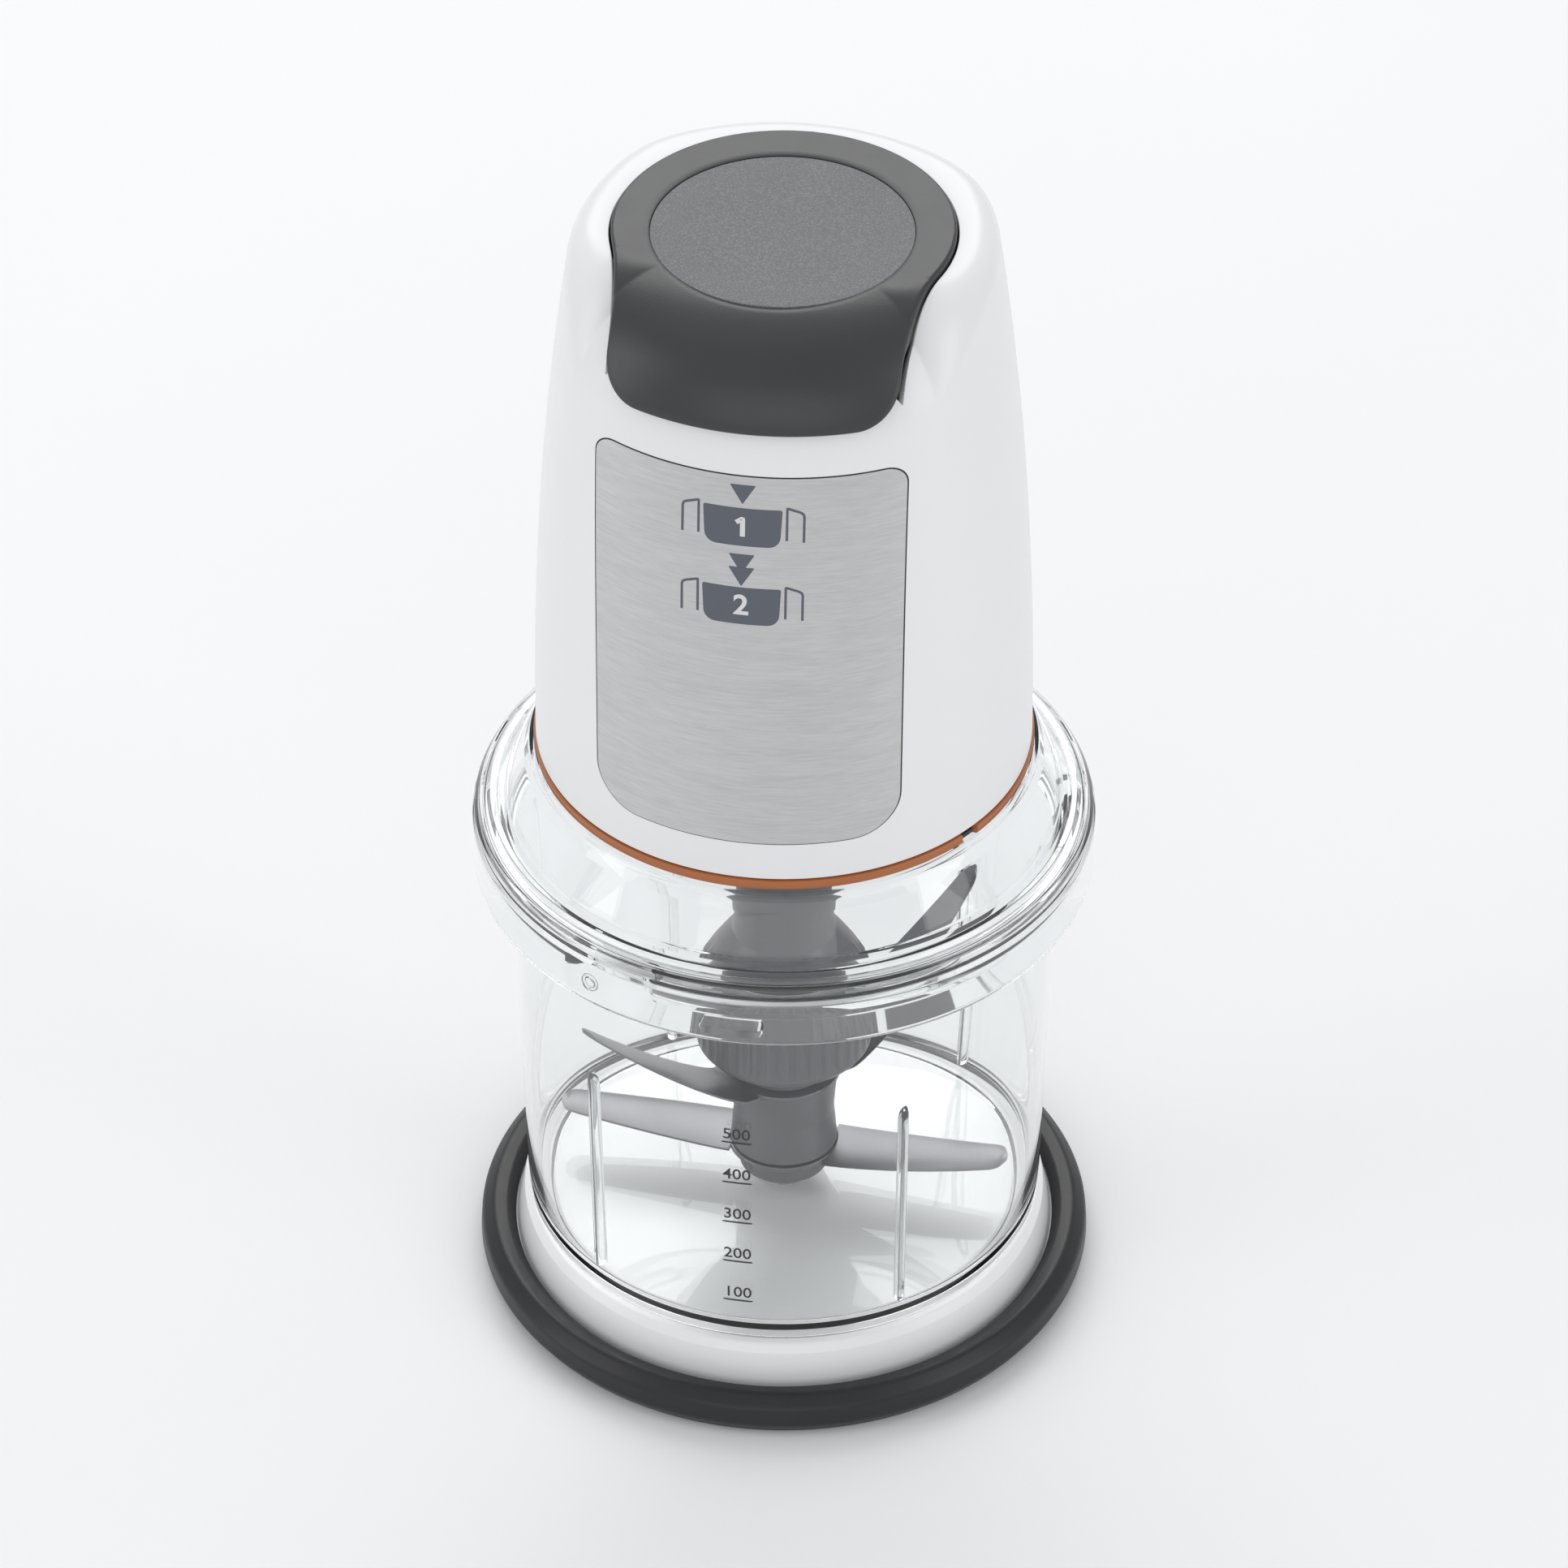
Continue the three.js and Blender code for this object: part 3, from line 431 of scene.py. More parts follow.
def wing(reach, rise, z, turn, sweep, taper):
    """One wing: a flat bar whose leading edge is ground thin, carried out from the stem.

    Its middle line bends forward by sweep times the square of its share, and rises from
    13 mm out by rise times the share to the power 1.2. Its width runs out in a half round.
    """
    s = np.linspace(0, 1, 40)[None, :]
    out = 10.2 + (reach - 10.2) * s
    share = np.clip((out - 13) / (reach - 13), 0, 1)
    half = 7.4 * (1 - taper * s**1.5)
    half = half * np.sqrt(np.clip(1 - np.clip((s - 0.93) / 0.072, 0, 1) ** 2, 0.02, 1))
    across = np.array([-1, -0.55, 0.6, 1, 1, 0.6, -0.55, -1])[:, None]
    level = np.array([0.5, 0, 0, 0.3, 0.9, 1.2, 1.2, 0.7])[:, None]
    x, y = out + 0 * across, across * half + sweep * s**2
    h = z + level + rise * share**1.2
    c, d = math.cos(turn), math.sin(turn)
    return np.stack([x * c - y * d, x * d + y * c, h], axis=-1)


def plate_knife(name, node, reach, rise, z, degrees, sweep, taper):
    """A ring on the stem and two wings, set opposite each other."""
    rim = [(7.9, z, 0.1), (11.8, z, 0.2), (11.8, z + 1.2, 0.2), (7.9, z + 1.2, 0.1)]
    piece(name + "_ring", lathe(rounded(rim), 72), blade_steel, "knife", "bright_steel",
          [node], closed=True)
    for side in (0, 180):
        bar = wing(reach, rise, z, math.radians(degrees + side), sweep, taper)
        piece(f"{name}_wing_{side}", bar, blade_steel, "knife", "bright_steel")


plate_knife("lower_plate", "lower_knife", 48.8, 1.5, 29, -5, 2.0, 0.49)
plate_knife("upper_plate", "upper_knife", 49.3, 31.4, 50, 40, 3.0, 0.72)

# ---- Cover --------------------------------------------------------------------------------
# A clear dome with a deep skirt. Fine ridges run round its rim, three lugs inside the skirt
# catch under the bowl's rim, and a collar round its middle hole guides the stem.
COVER_Z = 109.0
COVER = [
    (12, 130, 0.5), (14, 130, 0.5), (14, 136.4, 1), (51.2, 136.4, 1.4), (52.6, 134, 2),
    (56.8, 124.4, 1.2), (59.4, 123.2, 0.6), (63.4, 122.6, 0.8), (63.4, COVER_Z, 0.5),
    (65.3, COVER_Z, 0.6), (65.4, 119.6, 0.6), (64.7, 120.4, 0.4), (64.9, 121.6, 0.5),
    (63.8, 123.6, 0.5), (62.9, 123.2, 0.3), (62.2, 124.4, 0.4), (61.4, 125.2, 0.5),
    (60.2, 125, 0.3), (59.4, 125.6, 0.4), (58.2, 126.2, 0.8), (54.4, 135.2, 4),
    (53.2, 138, 1), (52, 138.6, 0.6), (12, 138.6, 0.5),
]
cover_skin = piece("clear_cover", lathe(rounded(COVER), 288), clear, "cover",
                   "clear_plastic", ["bowl_cover"], closed=True)
cover_skin.visible_shadow = False
for turn in LUGS:
    bar = arc_bar(turn, 13 / 61, 58.4, 63.3, 109.9, 111.9)
    lug = piece(f"cover_lug_{round(math.degrees(turn))}", bar, clear, "cover", "clear_plastic")
    lug.visible_shadow = False

# A ring stands on the skirt's front left, and marks where the cover locks.
PIP_TURN, PIP_Z = math.radians(-117.4), 114.9
a = np.linspace(0, 2 * math.pi, 40, endpoint=False)[:, None]
t = np.linspace(0, 2 * math.pi, 12, endpoint=False)[None, :]
across, lift = (1.6 + 0.5 * np.cos(t)) * np.cos(a), 65.45 + 0.5 * np.sin(t) + 0 * a
turn = PIP_TURN + across / 65.4
pip = np.stack([lift * np.cos(turn), lift * np.sin(turn),
                PIP_Z + (1.6 + 0.5 * np.cos(t)) * np.sin(a)], axis=-1)
pip_ring = piece("lock_pip", pip, clear, "cover", "clear_plastic", closed=True)
pip_ring.visible_shadow = False

# ---- Head trim ----------------------------------------------------------------------------
# A burnt-orange ring is clamped between the casing and its base plate, as the head's foot.
# A notch on its right lets the black interlock foot through.
orange = moulded("orange_moulding", (0.42, 0.135, 0.04), 0.32, 0.00001, 1200.0, 0.05)
TRIM = [(49.2, 139.2, 0.3), (51.9, 139.2, 0.5), (52.1, 141.4, 0.4), (49.2, 141.6, 0.2)]
NOTCH = math.radians(-33)
shape = lathe(rounded(TRIM), 720)
turn = np.arctan2(shape[..., 1], shape[..., 0])
radius = np.hypot(shape[..., 0], shape[..., 1])
notched = np.where(np.abs(turn - NOTCH) < 2.1 / 51, np.minimum(radius, 49.9), radius)
shape[..., :2] *= (notched / radius)[..., None]
piece("trim", shape, orange, "head", "orange_plastic", ["trim_ring"], closed=True)

# ---- Casing -------------------------------------------------------------------------------
# One deep white moulding. It is round at its foot and squares off a little towards a sloping
# shoulder, with four soft upright edges. The button's opening is cut through its top.
HEAD_Z, HEAD_H, HEAD_FOOT = 139.0, 126.0, 2.9
FRONT_CORNER, BUTTON_CORNER, SHELL_T = 21.0, 17.0, 2.2


def wall_radius(z, a):
    """Radius of the casing at a height, and at an angle off the front.

    Each side is an arc of radius r0 + c whose centre lies c behind the axis, so that
    r = -c cos(a) + sqrt((r0 + c)^2 - (c sin(a))^2). The front and side arcs are joined by
    a soft minimum: minus the log of the sum of the powers of e, over a width of 0.9.
    """
    r0 = 51.6 - 9.0 * ((z - 3) / 119) ** 2
    share = np.clip((z - 30) / 70, 0, 1)
    share = share * share * (3 - 2 * share)
    front = np.abs(np.arctan(np.tan(a)))
    near, side = (
        -c * share * np.cos(b) + np.sqrt((r0 + c * share) ** 2 - (c * share * np.sin(b)) ** 2)
        for c, b in ((9.0, front), (15.0, math.pi / 2 - front))
    )
    low = np.minimum(near, side)
    blend = -0.9 * np.log(np.exp((low - near) / 0.9) + np.exp((low - side) / 0.9))
    return low + blend * share


def casing(a, s, grow=0.0, rise=0.0, front=FRONT_CORNER):
    """A point of the casing's skin, moved out by grow, at an angle and a share s.

    From 0 to 0.6 s goes up the wall, from 0.6 to 0.9 round the shoulder, and from 0.9 to 1
    over the flat top to the axis. The shoulder's round is small at the sides and the back,
    and grows to its full radius at the front.
    """
    off = np.degrees(np.abs((a + math.pi) % (2 * math.pi) - math.pi))
    corner = 5 + (front - 5) * np.clip((95 - off) / 45, 0, 1) ** 2.7
    corner = np.maximum(corner + grow, 1.5)
    start = HEAD_H + rise - corner
    bend = np.clip((s - 0.6) / 0.3, 0, 1) * math.pi / 2
    up = HEAD_FOOT + (start - HEAD_FOOT) * np.clip(s / 0.6, 0, 1)
    z = np.where(s < 0.6, up, start + corner * np.sin(bend))
    r = wall_radius(z, a) + grow - corner * (1 - np.cos(bend))
    r = r * (1 - np.clip((s - 0.9) / 0.1, 0, 1))
    return np.stack([r * np.sin(a), -r * np.cos(a), z + HEAD_Z], axis=-1)


def inside_button(p, grow):
    """Above 0 inside the button's outline: a circle that runs by a hollow arc into a flap.

    It is the least of the half width at y less x, and the height over the flap's foot.
    """
    x, y, z = np.abs(p[..., 0]), p[..., 1], p[..., 2] - HEAD_Z
    r, half, curve, curve_x, curve_y = 34.2 + grow, 29 + grow, 80 - grow, 109.0, -34.066
    round_part = np.sqrt(np.maximum(r * r - y * y, 0))
    hollow = curve_x - np.sqrt(np.maximum(curve * curve - (y - curve_y) ** 2, 0))
    width = np.where(y > r * curve_y / 114.2, round_part, np.where(y > curve_y, hollow, half))
    edge = np.clip(x - (half - 7), 0, 7)
    foot = 110.8 - grow + 7 - np.sqrt(49 - edge**2)
    return np.minimum(width - x, np.where(y < curve_y, z - foot, 99.0))


def button_edge(count, wider, **skin):
    """Where a skin crosses the button's outline, as evenly spaced angles and shares s.

    Each fine meridian is followed up from the wall to the first point inside. The line of
    crossings is then cut into equal lengths.
    """
    a = np.linspace(-math.pi, math.pi, 3601)[:-1, None]
    s = np.linspace(0.3, 0.995, 1200)[None, :]
    inside = inside_button(casing(a, s, **skin), wider)
    k = np.maximum((inside > 0).argmax(1), 1)
    rows = np.arange(len(k))
    before, after = inside[rows, k - 1], inside[rows, k]
    share = s[0, k - 1] + (s[0, k] - s[0, k - 1]) * before / (before - after)
    line = casing(a[:, 0], share, **skin)
    step = np.linalg.norm(np.roll(line, -1, 0) - line, axis=1)
    along = np.concatenate([[0], np.cumsum(step)])
    even = np.linspace(0, along[-1], count, endpoint=False)
    turn = np.interp(even, along, np.append(a[:, 0], math.pi))
    return turn[:, None], np.interp(even, along, np.append(share, share[0]))[:, None]


COLUMNS = 480
turn, share = button_edge(COLUMNS, 0.5)
even = np.linspace(-math.pi, math.pi, COLUMNS, endpoint=False)[:, None]


def up_casing(v):
    """Rows from the foot, where the columns are even, to the edge, where they crowd."""
    ease = (v * v * (3 - 2 * v)) ** 1.5
    return even * (1 - ease) + turn * ease, share * v


outer = casing(*up_casing(1 - (1 - np.linspace(0, 1, 100)[None]) ** 1.25))
inner = casing(*up_casing(np.linspace(1, 0, 40)[None]), grow=-SHELL_T, rise=-SHELL_T)
away = outer[:, -1:] - outer[:, -4:-3]
away = away / np.linalg.norm(away, axis=-1, keepdims=True)
round_off = np.linspace(0, math.pi, 9)[None, 1:-1, None]
middle = (outer[:, -1:] + inner[:, :1]) / 2
lip = middle + (outer[:, -1:] - middle) * np.cos(round_off) + away * 0.3 * np.sin(round_off)
piece("casing", np.concatenate([outer, lip, inner], axis=1), white, "head",
      "white_plastic", ["head_shell"], closed=True)


# ---- Front panel --------------------------------------------------------------------------
# Thin stainless sheet, brushed across its width, curved and glued on the casing. A black plate
# just larger than it lies under it, and shows as painted shade: a dark line for the gap round it.
def on_casing(x, z, grow):
    """The point of the casing's front wall behind (x, z), moved by grow.

    The angle is the arcsine of x over the radius, found by repeated substitution.
    """
    a = np.arcsin(x / 50)
    for _ in range(6):
        a = np.arcsin(x / (wall_radius(z, a) + grow))
    r = wall_radius(z, a) + grow
    return np.stack([r * np.sin(a), -r * np.cos(a), z + HEAD_Z], axis=-1)


def even_line(line, count):
    """The same closed line of (x, z), cut into equal lengths."""
    step = np.linalg.norm(np.roll(line, -1, 0) - line, axis=1)
    along = np.concatenate([[0], np.cumsum(step)])
    t = np.linspace(0, along[-1], count, endpoint=False)
    closed = np.vstack([line, line[:1]])
    return np.stack([np.interp(t, along, closed[:, k]) for k in (0, 1)], 1)


def casing_plate(line, front, back, rings=24):
    """A thin plate on the casing: its outline shrunk to its middle, front, rim and back.

    The shares of shrinking run from the middle of the front to its edge, over the rim,
    and back to the middle of the underside.
    """
    centre = line.mean(0)
    share = np.array([*np.linspace(0.01, 0.985, rings), 0.994, 1, 1, 0.994, 0.6, 0.01])
    grow = np.array([front] * rings + [front, front - 0.02] + [back] * 4)
    flat = centre + (line - centre)[:, None] * share[None, :, None]
    return on_casing(flat[..., 0], flat[..., 1], grow[None, :])


def panel_line(grow):
    """The panel's outline, with every side moved out by grow."""
    half, low, high = 31 + grow, 12 - grow, 99 + grow
    corners = [(-half, low, 9 + grow), (half, low, 9 + grow), (half, high, 4 + grow),
               (-half, high, 4 + grow)]
    return even_line(rounded(corners, 12), 360)


material, at, link = start_material("brushed_sheet", Metallic=1.0)
fine = at.stretched((1, 1, 16)).noise(170.0, 5.0, 0.7)
broad = at.stretched((1, 1, 9)).noise(45.0, 3.0)
lines = fine * 0.75 + broad * 0.25
link(
    Base_Color=lines.above(0.5, 0.28).mix((0.52, 0.52, 0.52), (0.66, 0.66, 0.66)),
    Roughness=0.36 + (fine - 0.5) * 0.2,
    Normal=lines.bump(0.000006),
)
piece("panel", casing_plate(panel_line(0), 0.16, -0.6), material, "head", "brushed_metal",
      ["control_panel"])
# A black plate 0.24 mm wider than the panel, just under it: painted shade, a dark line standing for
# the shadowed gap round the panel.
gap_shade_black = moulded("painted_gap_shade", (0.02, 0.02, 0.02), 0.7, 0.00004, 2600.0, 0.2)
piece("panel_gap_shade", casing_plate(panel_line(0.24), 0.06, -0.5), gap_shade_black, "head", "black_plastic")

# The printed signs: for each speed an arrow over a button that sits between its hooks.
slate_ink = moulded("slate_ink", (0.1, 0.11, 0.135), 0.5)
pale_ink = moulded("pale_ink", (0.7, 0.7, 0.71), 0.5)


def stroke(points, width, low, high):
    """A printed line through the points (x, height), as a bar of box section.

    The line is cut into equal lengths, and its sides lie half a width off along the
    normal, which is its direction turned by a right angle.
    """
    p = np.array(points, float)
    step = np.linalg.norm(np.diff(p, axis=0), axis=1)
    t = np.linspace(0, step.sum(), 60)
    along = np.concatenate([[0], np.cumsum(step)])
    line = np.stack([np.interp(t, along, p[:, k]) for k in (0, 1)], 1)
    d = np.gradient(line, axis=0)
    n = np.stack([-d[:, 1], d[:, 0]], 1) / np.linalg.norm(d, axis=1)[:, None]
    sides = [line + n * width / 2, line - n * width / 2]
    return np.stack([on_casing(*sides[k].T, lift) for k, lift in
                     ((0, low), (1, low), (1, high), (0, high))])


for number, top in ((1, 92.0), (2, 74.0)):
    half, foot_half = 7.9, 7.5
    button_sign = [(-half, top, 0.4), (-foot_half, top - 8.5, 2.4), (foot_half, top - 8.5, 2.4),
                   (half, top, 0.4)]
    line = even_line(rounded(button_sign), 120)
    piece(f"sign_button_{number}", casing_plate(line, 0.21, 0.1, 8), slate_ink, "head",
          "black_plastic")
    one, two = [(top + 5.2, top + 0.9)], [(top + 7.6, top + 3.2), (top + 4.6, top + 0.3)]
    heads = one if number == 1 else two
    for i, (high, tip) in enumerate(heads):
        line = even_line(rounded([(-2.6, high, 0.1), (0, tip, 0.1), (2.6, high, 0.1)]), 90)
        lift = 0.21 + 0.02 * i
        piece(f"sign_arrow_{number}_{i}", casing_plate(line, lift, 0.1, 6), slate_ink, "head",
              "black_plastic")
    for side in (-1, 1):
        hook = [(12.1, -7.2), (12.1, -1.4), (11.9, -0.8), (11.3, -0.4), (8.8, 0.5), (8.8, -6.8)]
        hook = np.array(hook) * (side, 1) + (0, top)
        piece(f"sign_hook_{number}_{'left' if side < 0 else 'right'}",
              stroke(hook, 0.5, 0.1, 0.21), slate_ink, "head", "black_plastic")
    if number == 1:
        flag = np.array([(-1.2, 1.0), (0.1, 1.9), (0.1, -2.1)]) + (0, top - 4.2)
        piece("sign_digit_1", stroke(flag, 1.0, 0.15, 0.27), pale_ink, "head", "white_plastic")
    else:
        digit = letters("2", 6.4, 0.14,
                        lambda co: on_casing(co[:, 0], top - 4.2 + co[:, 1], 0.27 + co[:, 2]))
        place(digit, "sign_digit_2", pale_ink, "head", slot="white_plastic")

# ---- Button -------------------------------------------------------------------------------
# A charcoal cap stands a little proud of the casing. Its flap folds down over the casing's
# front, its skirt runs inside the opening, and a shallow round recess holds the finger pad.
button_plastic = moulded("charcoal_plastic", (0.038, 0.038, 0.039), 0.36, 0.00002, 1800.0, 0.06)
PAD_R, PAD_Y, ROLL_R = 26.3, -1.5, 27.6
skin = {"grow": 2.8, "rise": 1.4, "front": BUTTON_CORNER}
turn, share = button_edge(420, 0.0, **skin)
edge = casing(turn, share, **skin)
flat_r = np.hypot(*np.moveaxis(casing(turn, 0.9 + 0 * turn, **skin)[..., :2], -1, 0))
ray = -PAD_Y * np.cos(turn)
roll = ray + np.sqrt(ROLL_R**2 - (PAD_Y * np.sin(turn)) ** 2)
bend = np.arccos(np.clip((roll - flat_r) / (BUTTON_CORNER + 2.8), 0, 1))
roll_share = np.where(roll > flat_r, 0.6 + 0.6 * bend / math.pi, 1 - 0.1 * roll / flat_r)
v = np.linspace(0, 1, 60)[None] ** 1.6
skin_rows = casing(turn + 0 * v, share + (roll_share - share) * v, **skin)
run = np.linalg.norm(skin_rows - edge, axis=-1)
drop = 0.9 - np.sqrt(0.81 - np.clip(0.9 - run, 0, 0.9) ** 2)
skin_rows[..., 2] -= drop
centre = np.array([0, PAD_Y, 0])
spoke = skin_rows[:, -1:] - centre
spoke = spoke / np.hypot(spoke[..., :1], spoke[..., 1:2]) * [1, 1, 0]
dip_r = np.array([27.3, 27.0, 26.7, 26.45, PAD_R, PAD_R, 13, HUB])[None, :, None]
dip_z = np.array([-0.03, -0.08, -0.15, -0.22, -0.3, -1.2, -1.2, -1.2])[None, :, None]
dip = centre + spoke * dip_r + (skin_rows[:, -1:, 2:] + dip_z) * [0, 0, 1]
inner_skin = {"grow": 1.7, "rise": -1.2, "front": BUTTON_CORNER}
under = casing(turn, share, **inner_skin)
upright = np.clip((edge[..., 2:] - HEAD_Z - 119.5) / 2.5, 0, 1)
depth = np.clip(edge[..., 2:] - HEAD_Z - 120.5, 1.1, 7)
below = edge * [1, 1, 0] + (edge[..., 2:] - depth) * [0, 0, 1]
foot = under * (1 - upright) + below * upright
inward = np.concatenate([-np.sin(turn), np.cos(turn), 0 * turn], -1)[:, None]
skirt = edge + (foot - edge) * np.array([0.35, 0.7, 1.0])[None, :, None]
skirt[..., 2] -= np.minimum(drop[:, :1], 0.5) * np.array([0.6, 0.3, 0])
inner_foot = foot + inward * 1.5 * upright
v = np.linspace(0.03, 1, 30)[None]
under_rows = casing(turn + 0 * v, share + (0.9999 - share) * v, **inner_skin)
grid = np.concatenate([dip[:, ::-1], skin_rows[:, ::-1], skirt, inner_foot, under_rows], 1)
piece("button_cap", grid, button_plastic, "button", "button_plastic", ["speed_button"])

material, at, link = start_material("pad_plastic", IOR=1.49)
speckle = at.noise(2600.0, 1.0).above(0.56, 0.1)
grain = at.noise(1700.0, 3.0)
link(
    Base_Color=(speckle * 0.7 + at.noise(70.0) * 0.3).mix((0.14, 0.14, 0.145), (0.22, 0.22, 0.225)),
    Roughness=0.62 + (grain - 0.5) * 0.3,
    Normal=grain.bump(0.00004),
)
PAD = [(HUB, 126.3, 0), (26.25, 126.3, 0.1), (26.25, 127.0, 0.2), (19, 126.65, 9), (HUB, 126.5, 0)]
shape = lathe(rounded(PAD)[5:-5] + [0, HEAD_Z]) + [0, PAD_Y, 0]
piece("finger_pad", shape, material, "button", "pad_plastic", ["button_pad"])

# ---- Gland and screws ---------------------------------------------------------------------
# A black rubber bush with two collars lines the lead's hole at the back. Four countersunk
# steel screws hold the white base plate to the posts inside the casing.
def dress(material, *names):
    """Gives CAD pieces whose shape is already right their material."""
    for name in names:
        slots = nodes[name].material_slots
        for one in slots:
            one.link = "OBJECT"
            one.material = material
        if not slots:
            nodes[name].data.materials.append(material)


dress(rubber, "cord_gland")
dress(turned_steel, "base_screw_1", "base_screw_2", "base_screw_3", "base_screw_4")
dress(white, "head_base_plate")

# ---- Interlock ----------------------------------------------------------------------------
# A black foot comes down through the notch in the trim. The cover's edge pushes it up
# against a small switch, so the motor runs only on a locked cover.
black_plastic = moulded("black_moulding", (0.03, 0.03, 0.032), 0.45, 0.00002, 1800.0, 0.15)
dress(black_plastic, "interlock_pin", "interlock_switch", "speed_switch", "rectifier")

# ---- Gear train ---------------------------------------------------------------------------
# A steel sun pinion turns three moulded nylon planets inside a fixed ring gear. Their steel
# carrier turns the drive dog at a quarter of the motor's speed, in a sintered bush.
nylon = moulded("natural_nylon", (0.7, 0.66, 0.56), 0.42, 0.00003, 1100.0, 0.06,
                Subsurface_Weight=0.1, Subsurface_Scale=0.002)
bronze, at, link = start_material("sintered_bronze", Metallic=0.9)
pores = at.noise(3800.0, 2.0).above(0.6, 0.12)
link(
    Base_Color=(at.noise(120.0) * 0.6 + pores * 0.4).mix((0.5, 0.33, 0.15), (0.3, 0.19, 0.09)),
    Roughness=0.42 + pores * 0.25,
    Normal=pores.bump(-0.00003),
)
dress(nylon, "gearbox_housing", "ring_gear", "planet_gear_1", "planet_gear_2",
      "planet_gear_3", "button_tray", "switch_plunger")
dress(bronze, "output_bush")
dress(turned_steel, "planet_carrier", "sun_gear")
dress(black_plastic, "drive_dog")

# ---- Motor --------------------------------------------------------------------------------
# A universal motor stands on a moulded mount: stacked laminations carry enamelled coils, and
# carbon brushes in brass holders press on the segments of a copper commutator.
laminated, at, link = start_material("stacked_laminations", Metallic=0.85)
height = at.node("SeparateXYZ", None, {"Vector": at}, output=2)
sheets = (height * (2 * math.pi / 0.0005)).math("SINE", height * (2 * math.pi / 0.0005))
rust = at.noise(160.0, 4.0).above(0.6, 0.1)
link(
    Base_Color=(sheets * 0.25 + 0.5 + rust * 0.3).mix((0.2, 0.2, 0.21), (0.42, 0.4, 0.39)),
    Roughness=0.4 + rust * 0.2,
    Normal=(sheets * 0.5 + 0.5).bump(0.00005),
)


def wound_wire(name, low, high, pitch):
    """Enamelled wire in close turns: a sine of the coordinate across them, for each turn."""
    material, at, link = start_material(name, Metallic=0.75)
    across = at.node("SeparateXYZ", None, {"Vector": at}, output=0)
    lift = at.node("SeparateXYZ", None, {"Vector": at}, output=2)
    angle = (across + lift) * (2 * math.pi / pitch)
    turns = angle.math("SINE", angle)
    link(
        Base_Color=(turns * 0.3 + 0.4 + at.noise(200.0) * 0.3).mix(low, high),
        Roughness=0.3 + at.noise(300.0) * 0.12,
        Normal=(turns * 0.5 + 0.5).bump(0.0001),
    )
    return material


copper = wound_wire("enamelled_copper", (0.3, 0.1, 0.04), (0.66, 0.3, 0.14), 0.0007)
segments = drawn_steel("commutator_copper", (0.72, 0.4, 0.24), 0.3, (1, 1, 9), 300.0)
carbon = moulded("brush_carbon", (0.02, 0.02, 0.021), 0.55, 0.00005, 3000.0, 0.25)
dress(laminated, "stator_core", "armature_core")
dress(copper, "field_coil_front", "field_coil_rear", "armature_windings")
dress(segments, "commutator")
dress(carbon, "carbon_brush_front", "carbon_brush_rear")
dress(bronze, "brush_holder_front", "brush_holder_rear")
dress(turned_steel, "motor_shaft", "lower_bearing", "upper_bearing")
dress(black_plastic, "motor_mount", "upper_bracket", "cooling_fan")

# ---- Switch tray --------------------------------------------------------------------------
# Two steel springs on the tray's posts lift the button. They are round wire wound in open turns,
# with each end closed on itself. They keep one length here and do not flatten when it is pressed.
SPRING_TURNS, WIRE_R = 6.5, 0.5
for side, x in (("left", -22), ("right", 22)):
    low, high = (c / MM for c in (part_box(f"button_spring_{side}")[i].z for i in (0, 1)))
    s = np.linspace(0, 1, 260)[None, :]
    t = np.linspace(0, 2 * math.pi, 10, endpoint=False)[:, None]
    climb = np.clip((s - 0.1) / 0.8, 0, 1)
    z = low + WIRE_R + (high - low - 2 * WIRE_R) * climb
    a, r = 2 * math.pi * SPRING_TURNS * s, 3.3 + WIRE_R * np.cos(t)
    coil = np.stack([x + r * np.cos(a), 6 + r * np.sin(a), z + WIRE_R * np.sin(t)], -1)
    spring = piece(f"coil_spring_{side}", coil, turned_steel, "head", "bright_steel",
                   [f"button_spring_{side}"])
    (high - low - 3) / (high - low)
    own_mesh(spring)

# ---- Circuit board ------------------------------------------------------------------------
# A green board stands in the casing's guides, with a rectifier and a yellow film capacitor
# that keeps the brushes' sparks out of the mains.
board, at, link = start_material("green_board", Roughness=0.35, IOR=1.5)
tracks = at.stretched((1, 1, 0.35)).noise(420.0, 0.0).above(0.55, 0.02)
link(
    Base_Color=tracks.mix((0.012, 0.09, 0.035), (0.03, 0.17, 0.06)),
    Roughness=0.3 + at.noise(600.0) * 0.15,
    Normal=tracks.bump(0.00004),
)
dress(board, "circuit_board")
dress(moulded("yellow_case", (0.62, 0.42, 0.05), 0.35, 0.00001, 900.0), "suppression_capacitor")

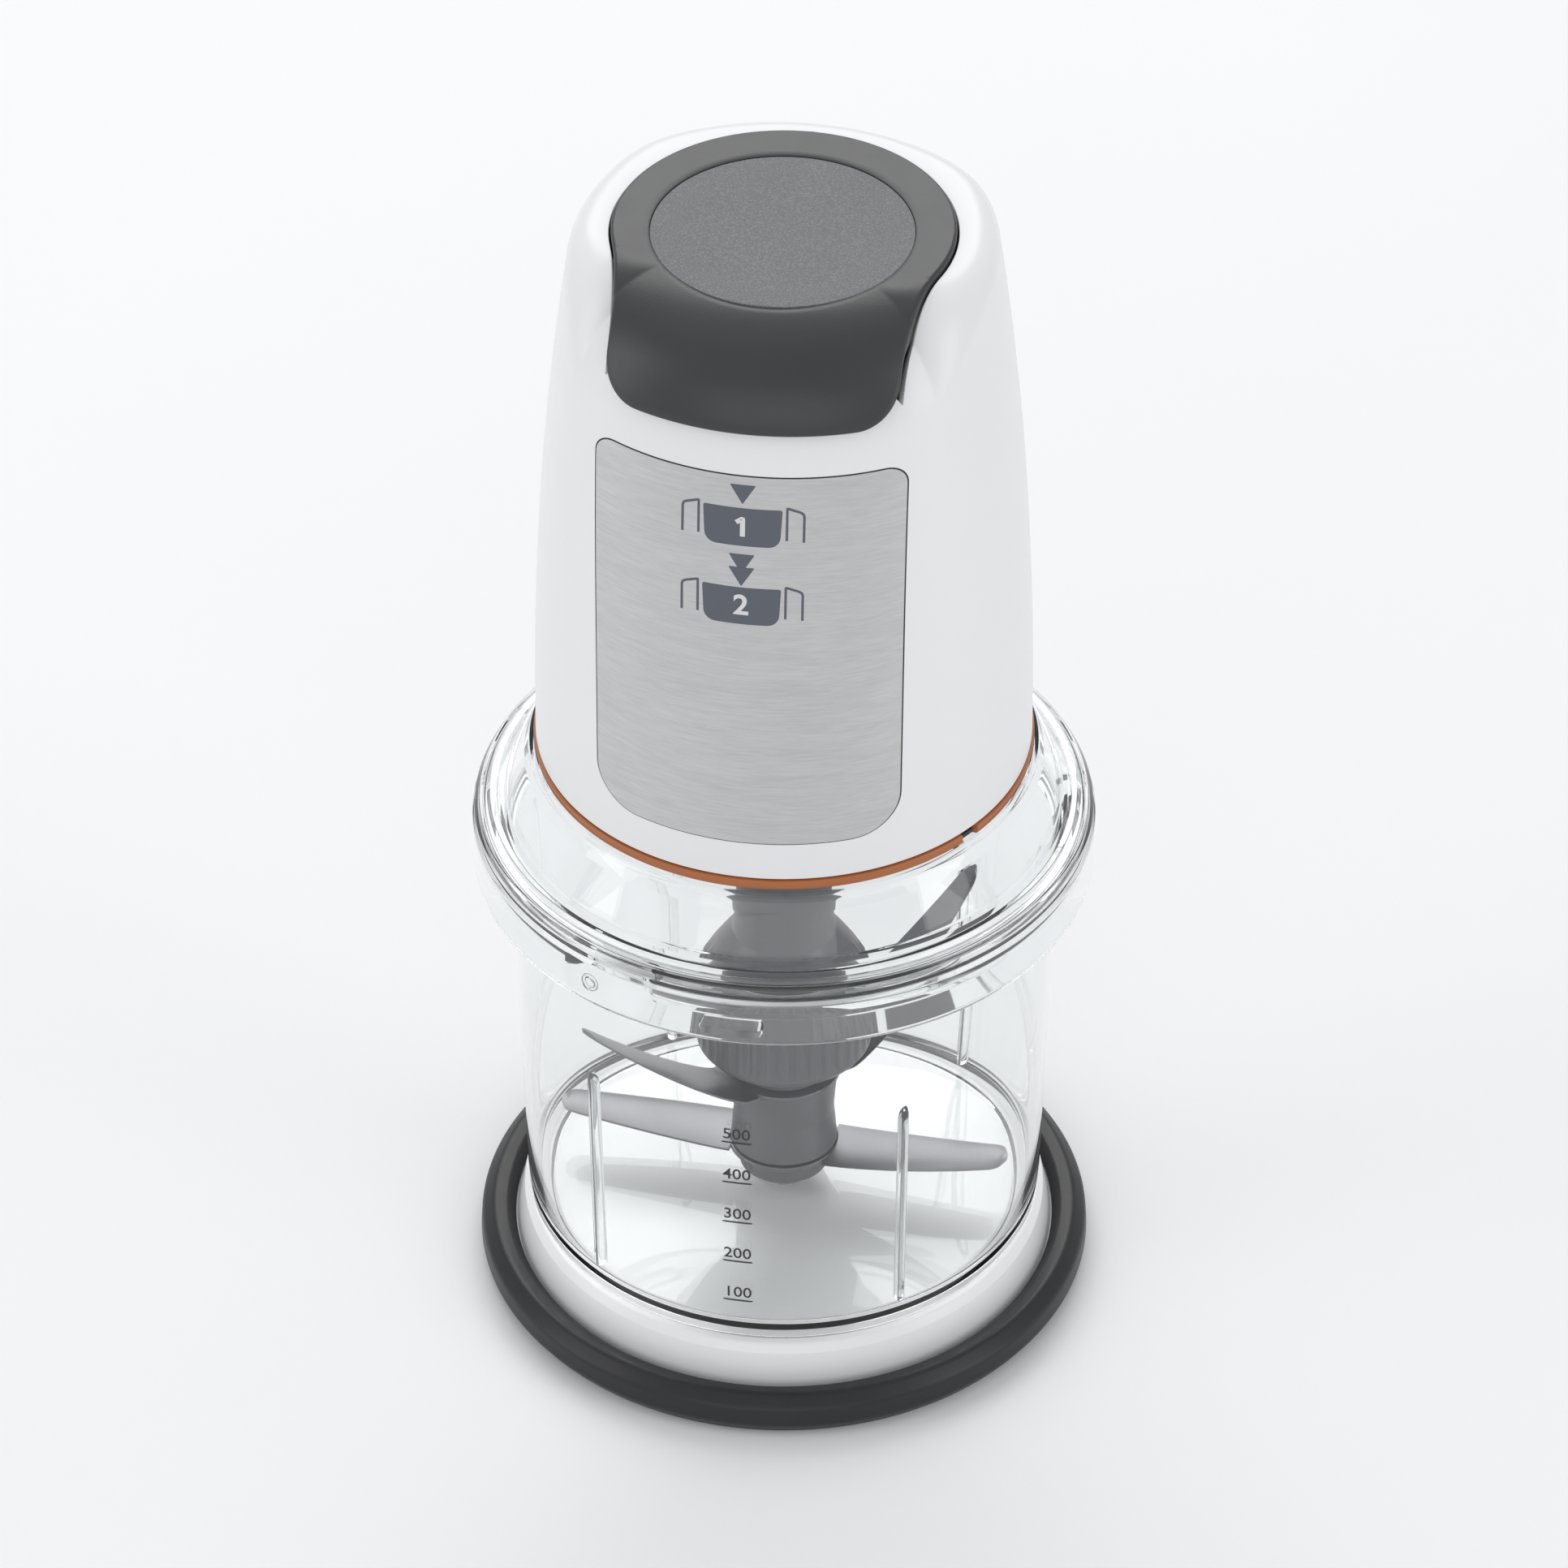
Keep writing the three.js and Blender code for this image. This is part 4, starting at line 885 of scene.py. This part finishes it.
# ---- Floor and light ----------------------------------------------------------------------
# A pale worktop that curves up behind into a backdrop, under one wide softbox and soft fills.
# The world adds an even pale light from all round.
floor_white, at, link = start_material("pale_worktop", Roughness=0.6)
link(Base_Color=at.noise(3.0).mix((0.86, 0.86, 0.86), (0.9, 0.9, 0.9)))
u, v = np.meshgrid(np.linspace(-3, 3, 24), np.linspace(0, 1, 60), indexing="ij")
back = np.clip((v - 0.5) / 0.2, 0, 1)
flat_y = -2.5 + np.minimum(v, 0.5) * 2 * 4.5 + np.sin(back * math.pi / 2) * 0.8
flat_z = (1 - np.cos(back * math.pi / 2)) * 0.8 + np.clip(v - 0.7, 0, 1) * 8
sheet = bpy.data.meshes.new("worktop")
ids = np.arange(u.size).reshape(u.shape)
quads = np.stack([ids[:-1, :-1], ids[1:, :-1], ids[1:, 1:], ids[:-1, 1:]], -1).reshape(-1, 4)
sheet.from_pydata(np.stack([u, flat_y, flat_z], -1).reshape(-1, 3).tolist(), [], quads.tolist())
sheet.polygons.foreach_set("use_smooth", np.ones(len(sheet.polygons), bool))
sheet.materials.append(floor_white)
worktop = bpy.data.objects.new("worktop", sheet)
bpy.context.scene.collection.objects.link(worktop)


def softbox(name, place, aim, size, power):
    """An area light at a place in metres, turned to face a point."""
    data = bpy.data.lights.new(name, "AREA")
    data.shape, data.size, data.size_y, data.energy = "RECTANGLE", *size, power
    lamp = bpy.data.objects.new(name, data)
    away = np.array(place) - np.array(aim)
    turn = math.atan2(away[1], away[0]) + math.pi / 2
    lamp.rotation_euler = (math.atan2(np.hypot(away[0], away[1]), away[2]), 0, turn)
    lamp.location = place
    bpy.context.scene.collection.objects.link(lamp)


softbox("back_softbox", (-0.3, 1.2, 1.25), (0, 0, 0.2), (1.5, 1.0), 12)
softbox("overhead", (-0.2, 0.2, 1.5), (0, 0, 0.1), (1.2, 1.0), 0.8)
softbox("front_fill", (0.1, -1.7, 0.8), (0, 0, 0.14), (1.8, 1.0), 4.4)
softbox("left_strip", (-1.1, -0.5, 0.6), (0, 0, 0.15), (0.5, 1.0), 2.8)
softbox("right_strip", (1.1, -0.3, 0.6), (0, 0, 0.15), (0.5, 1.0), 2.8)
world = bpy.data.worlds.new("studio")
bpy.context.scene.world = world
world.use_nodes = True
world.node_tree.nodes["Background"].inputs["Color"].default_value = (0.95, 0.97, 1, 1)
world.node_tree.nodes["Background"].inputs["Strength"].default_value = 0.6
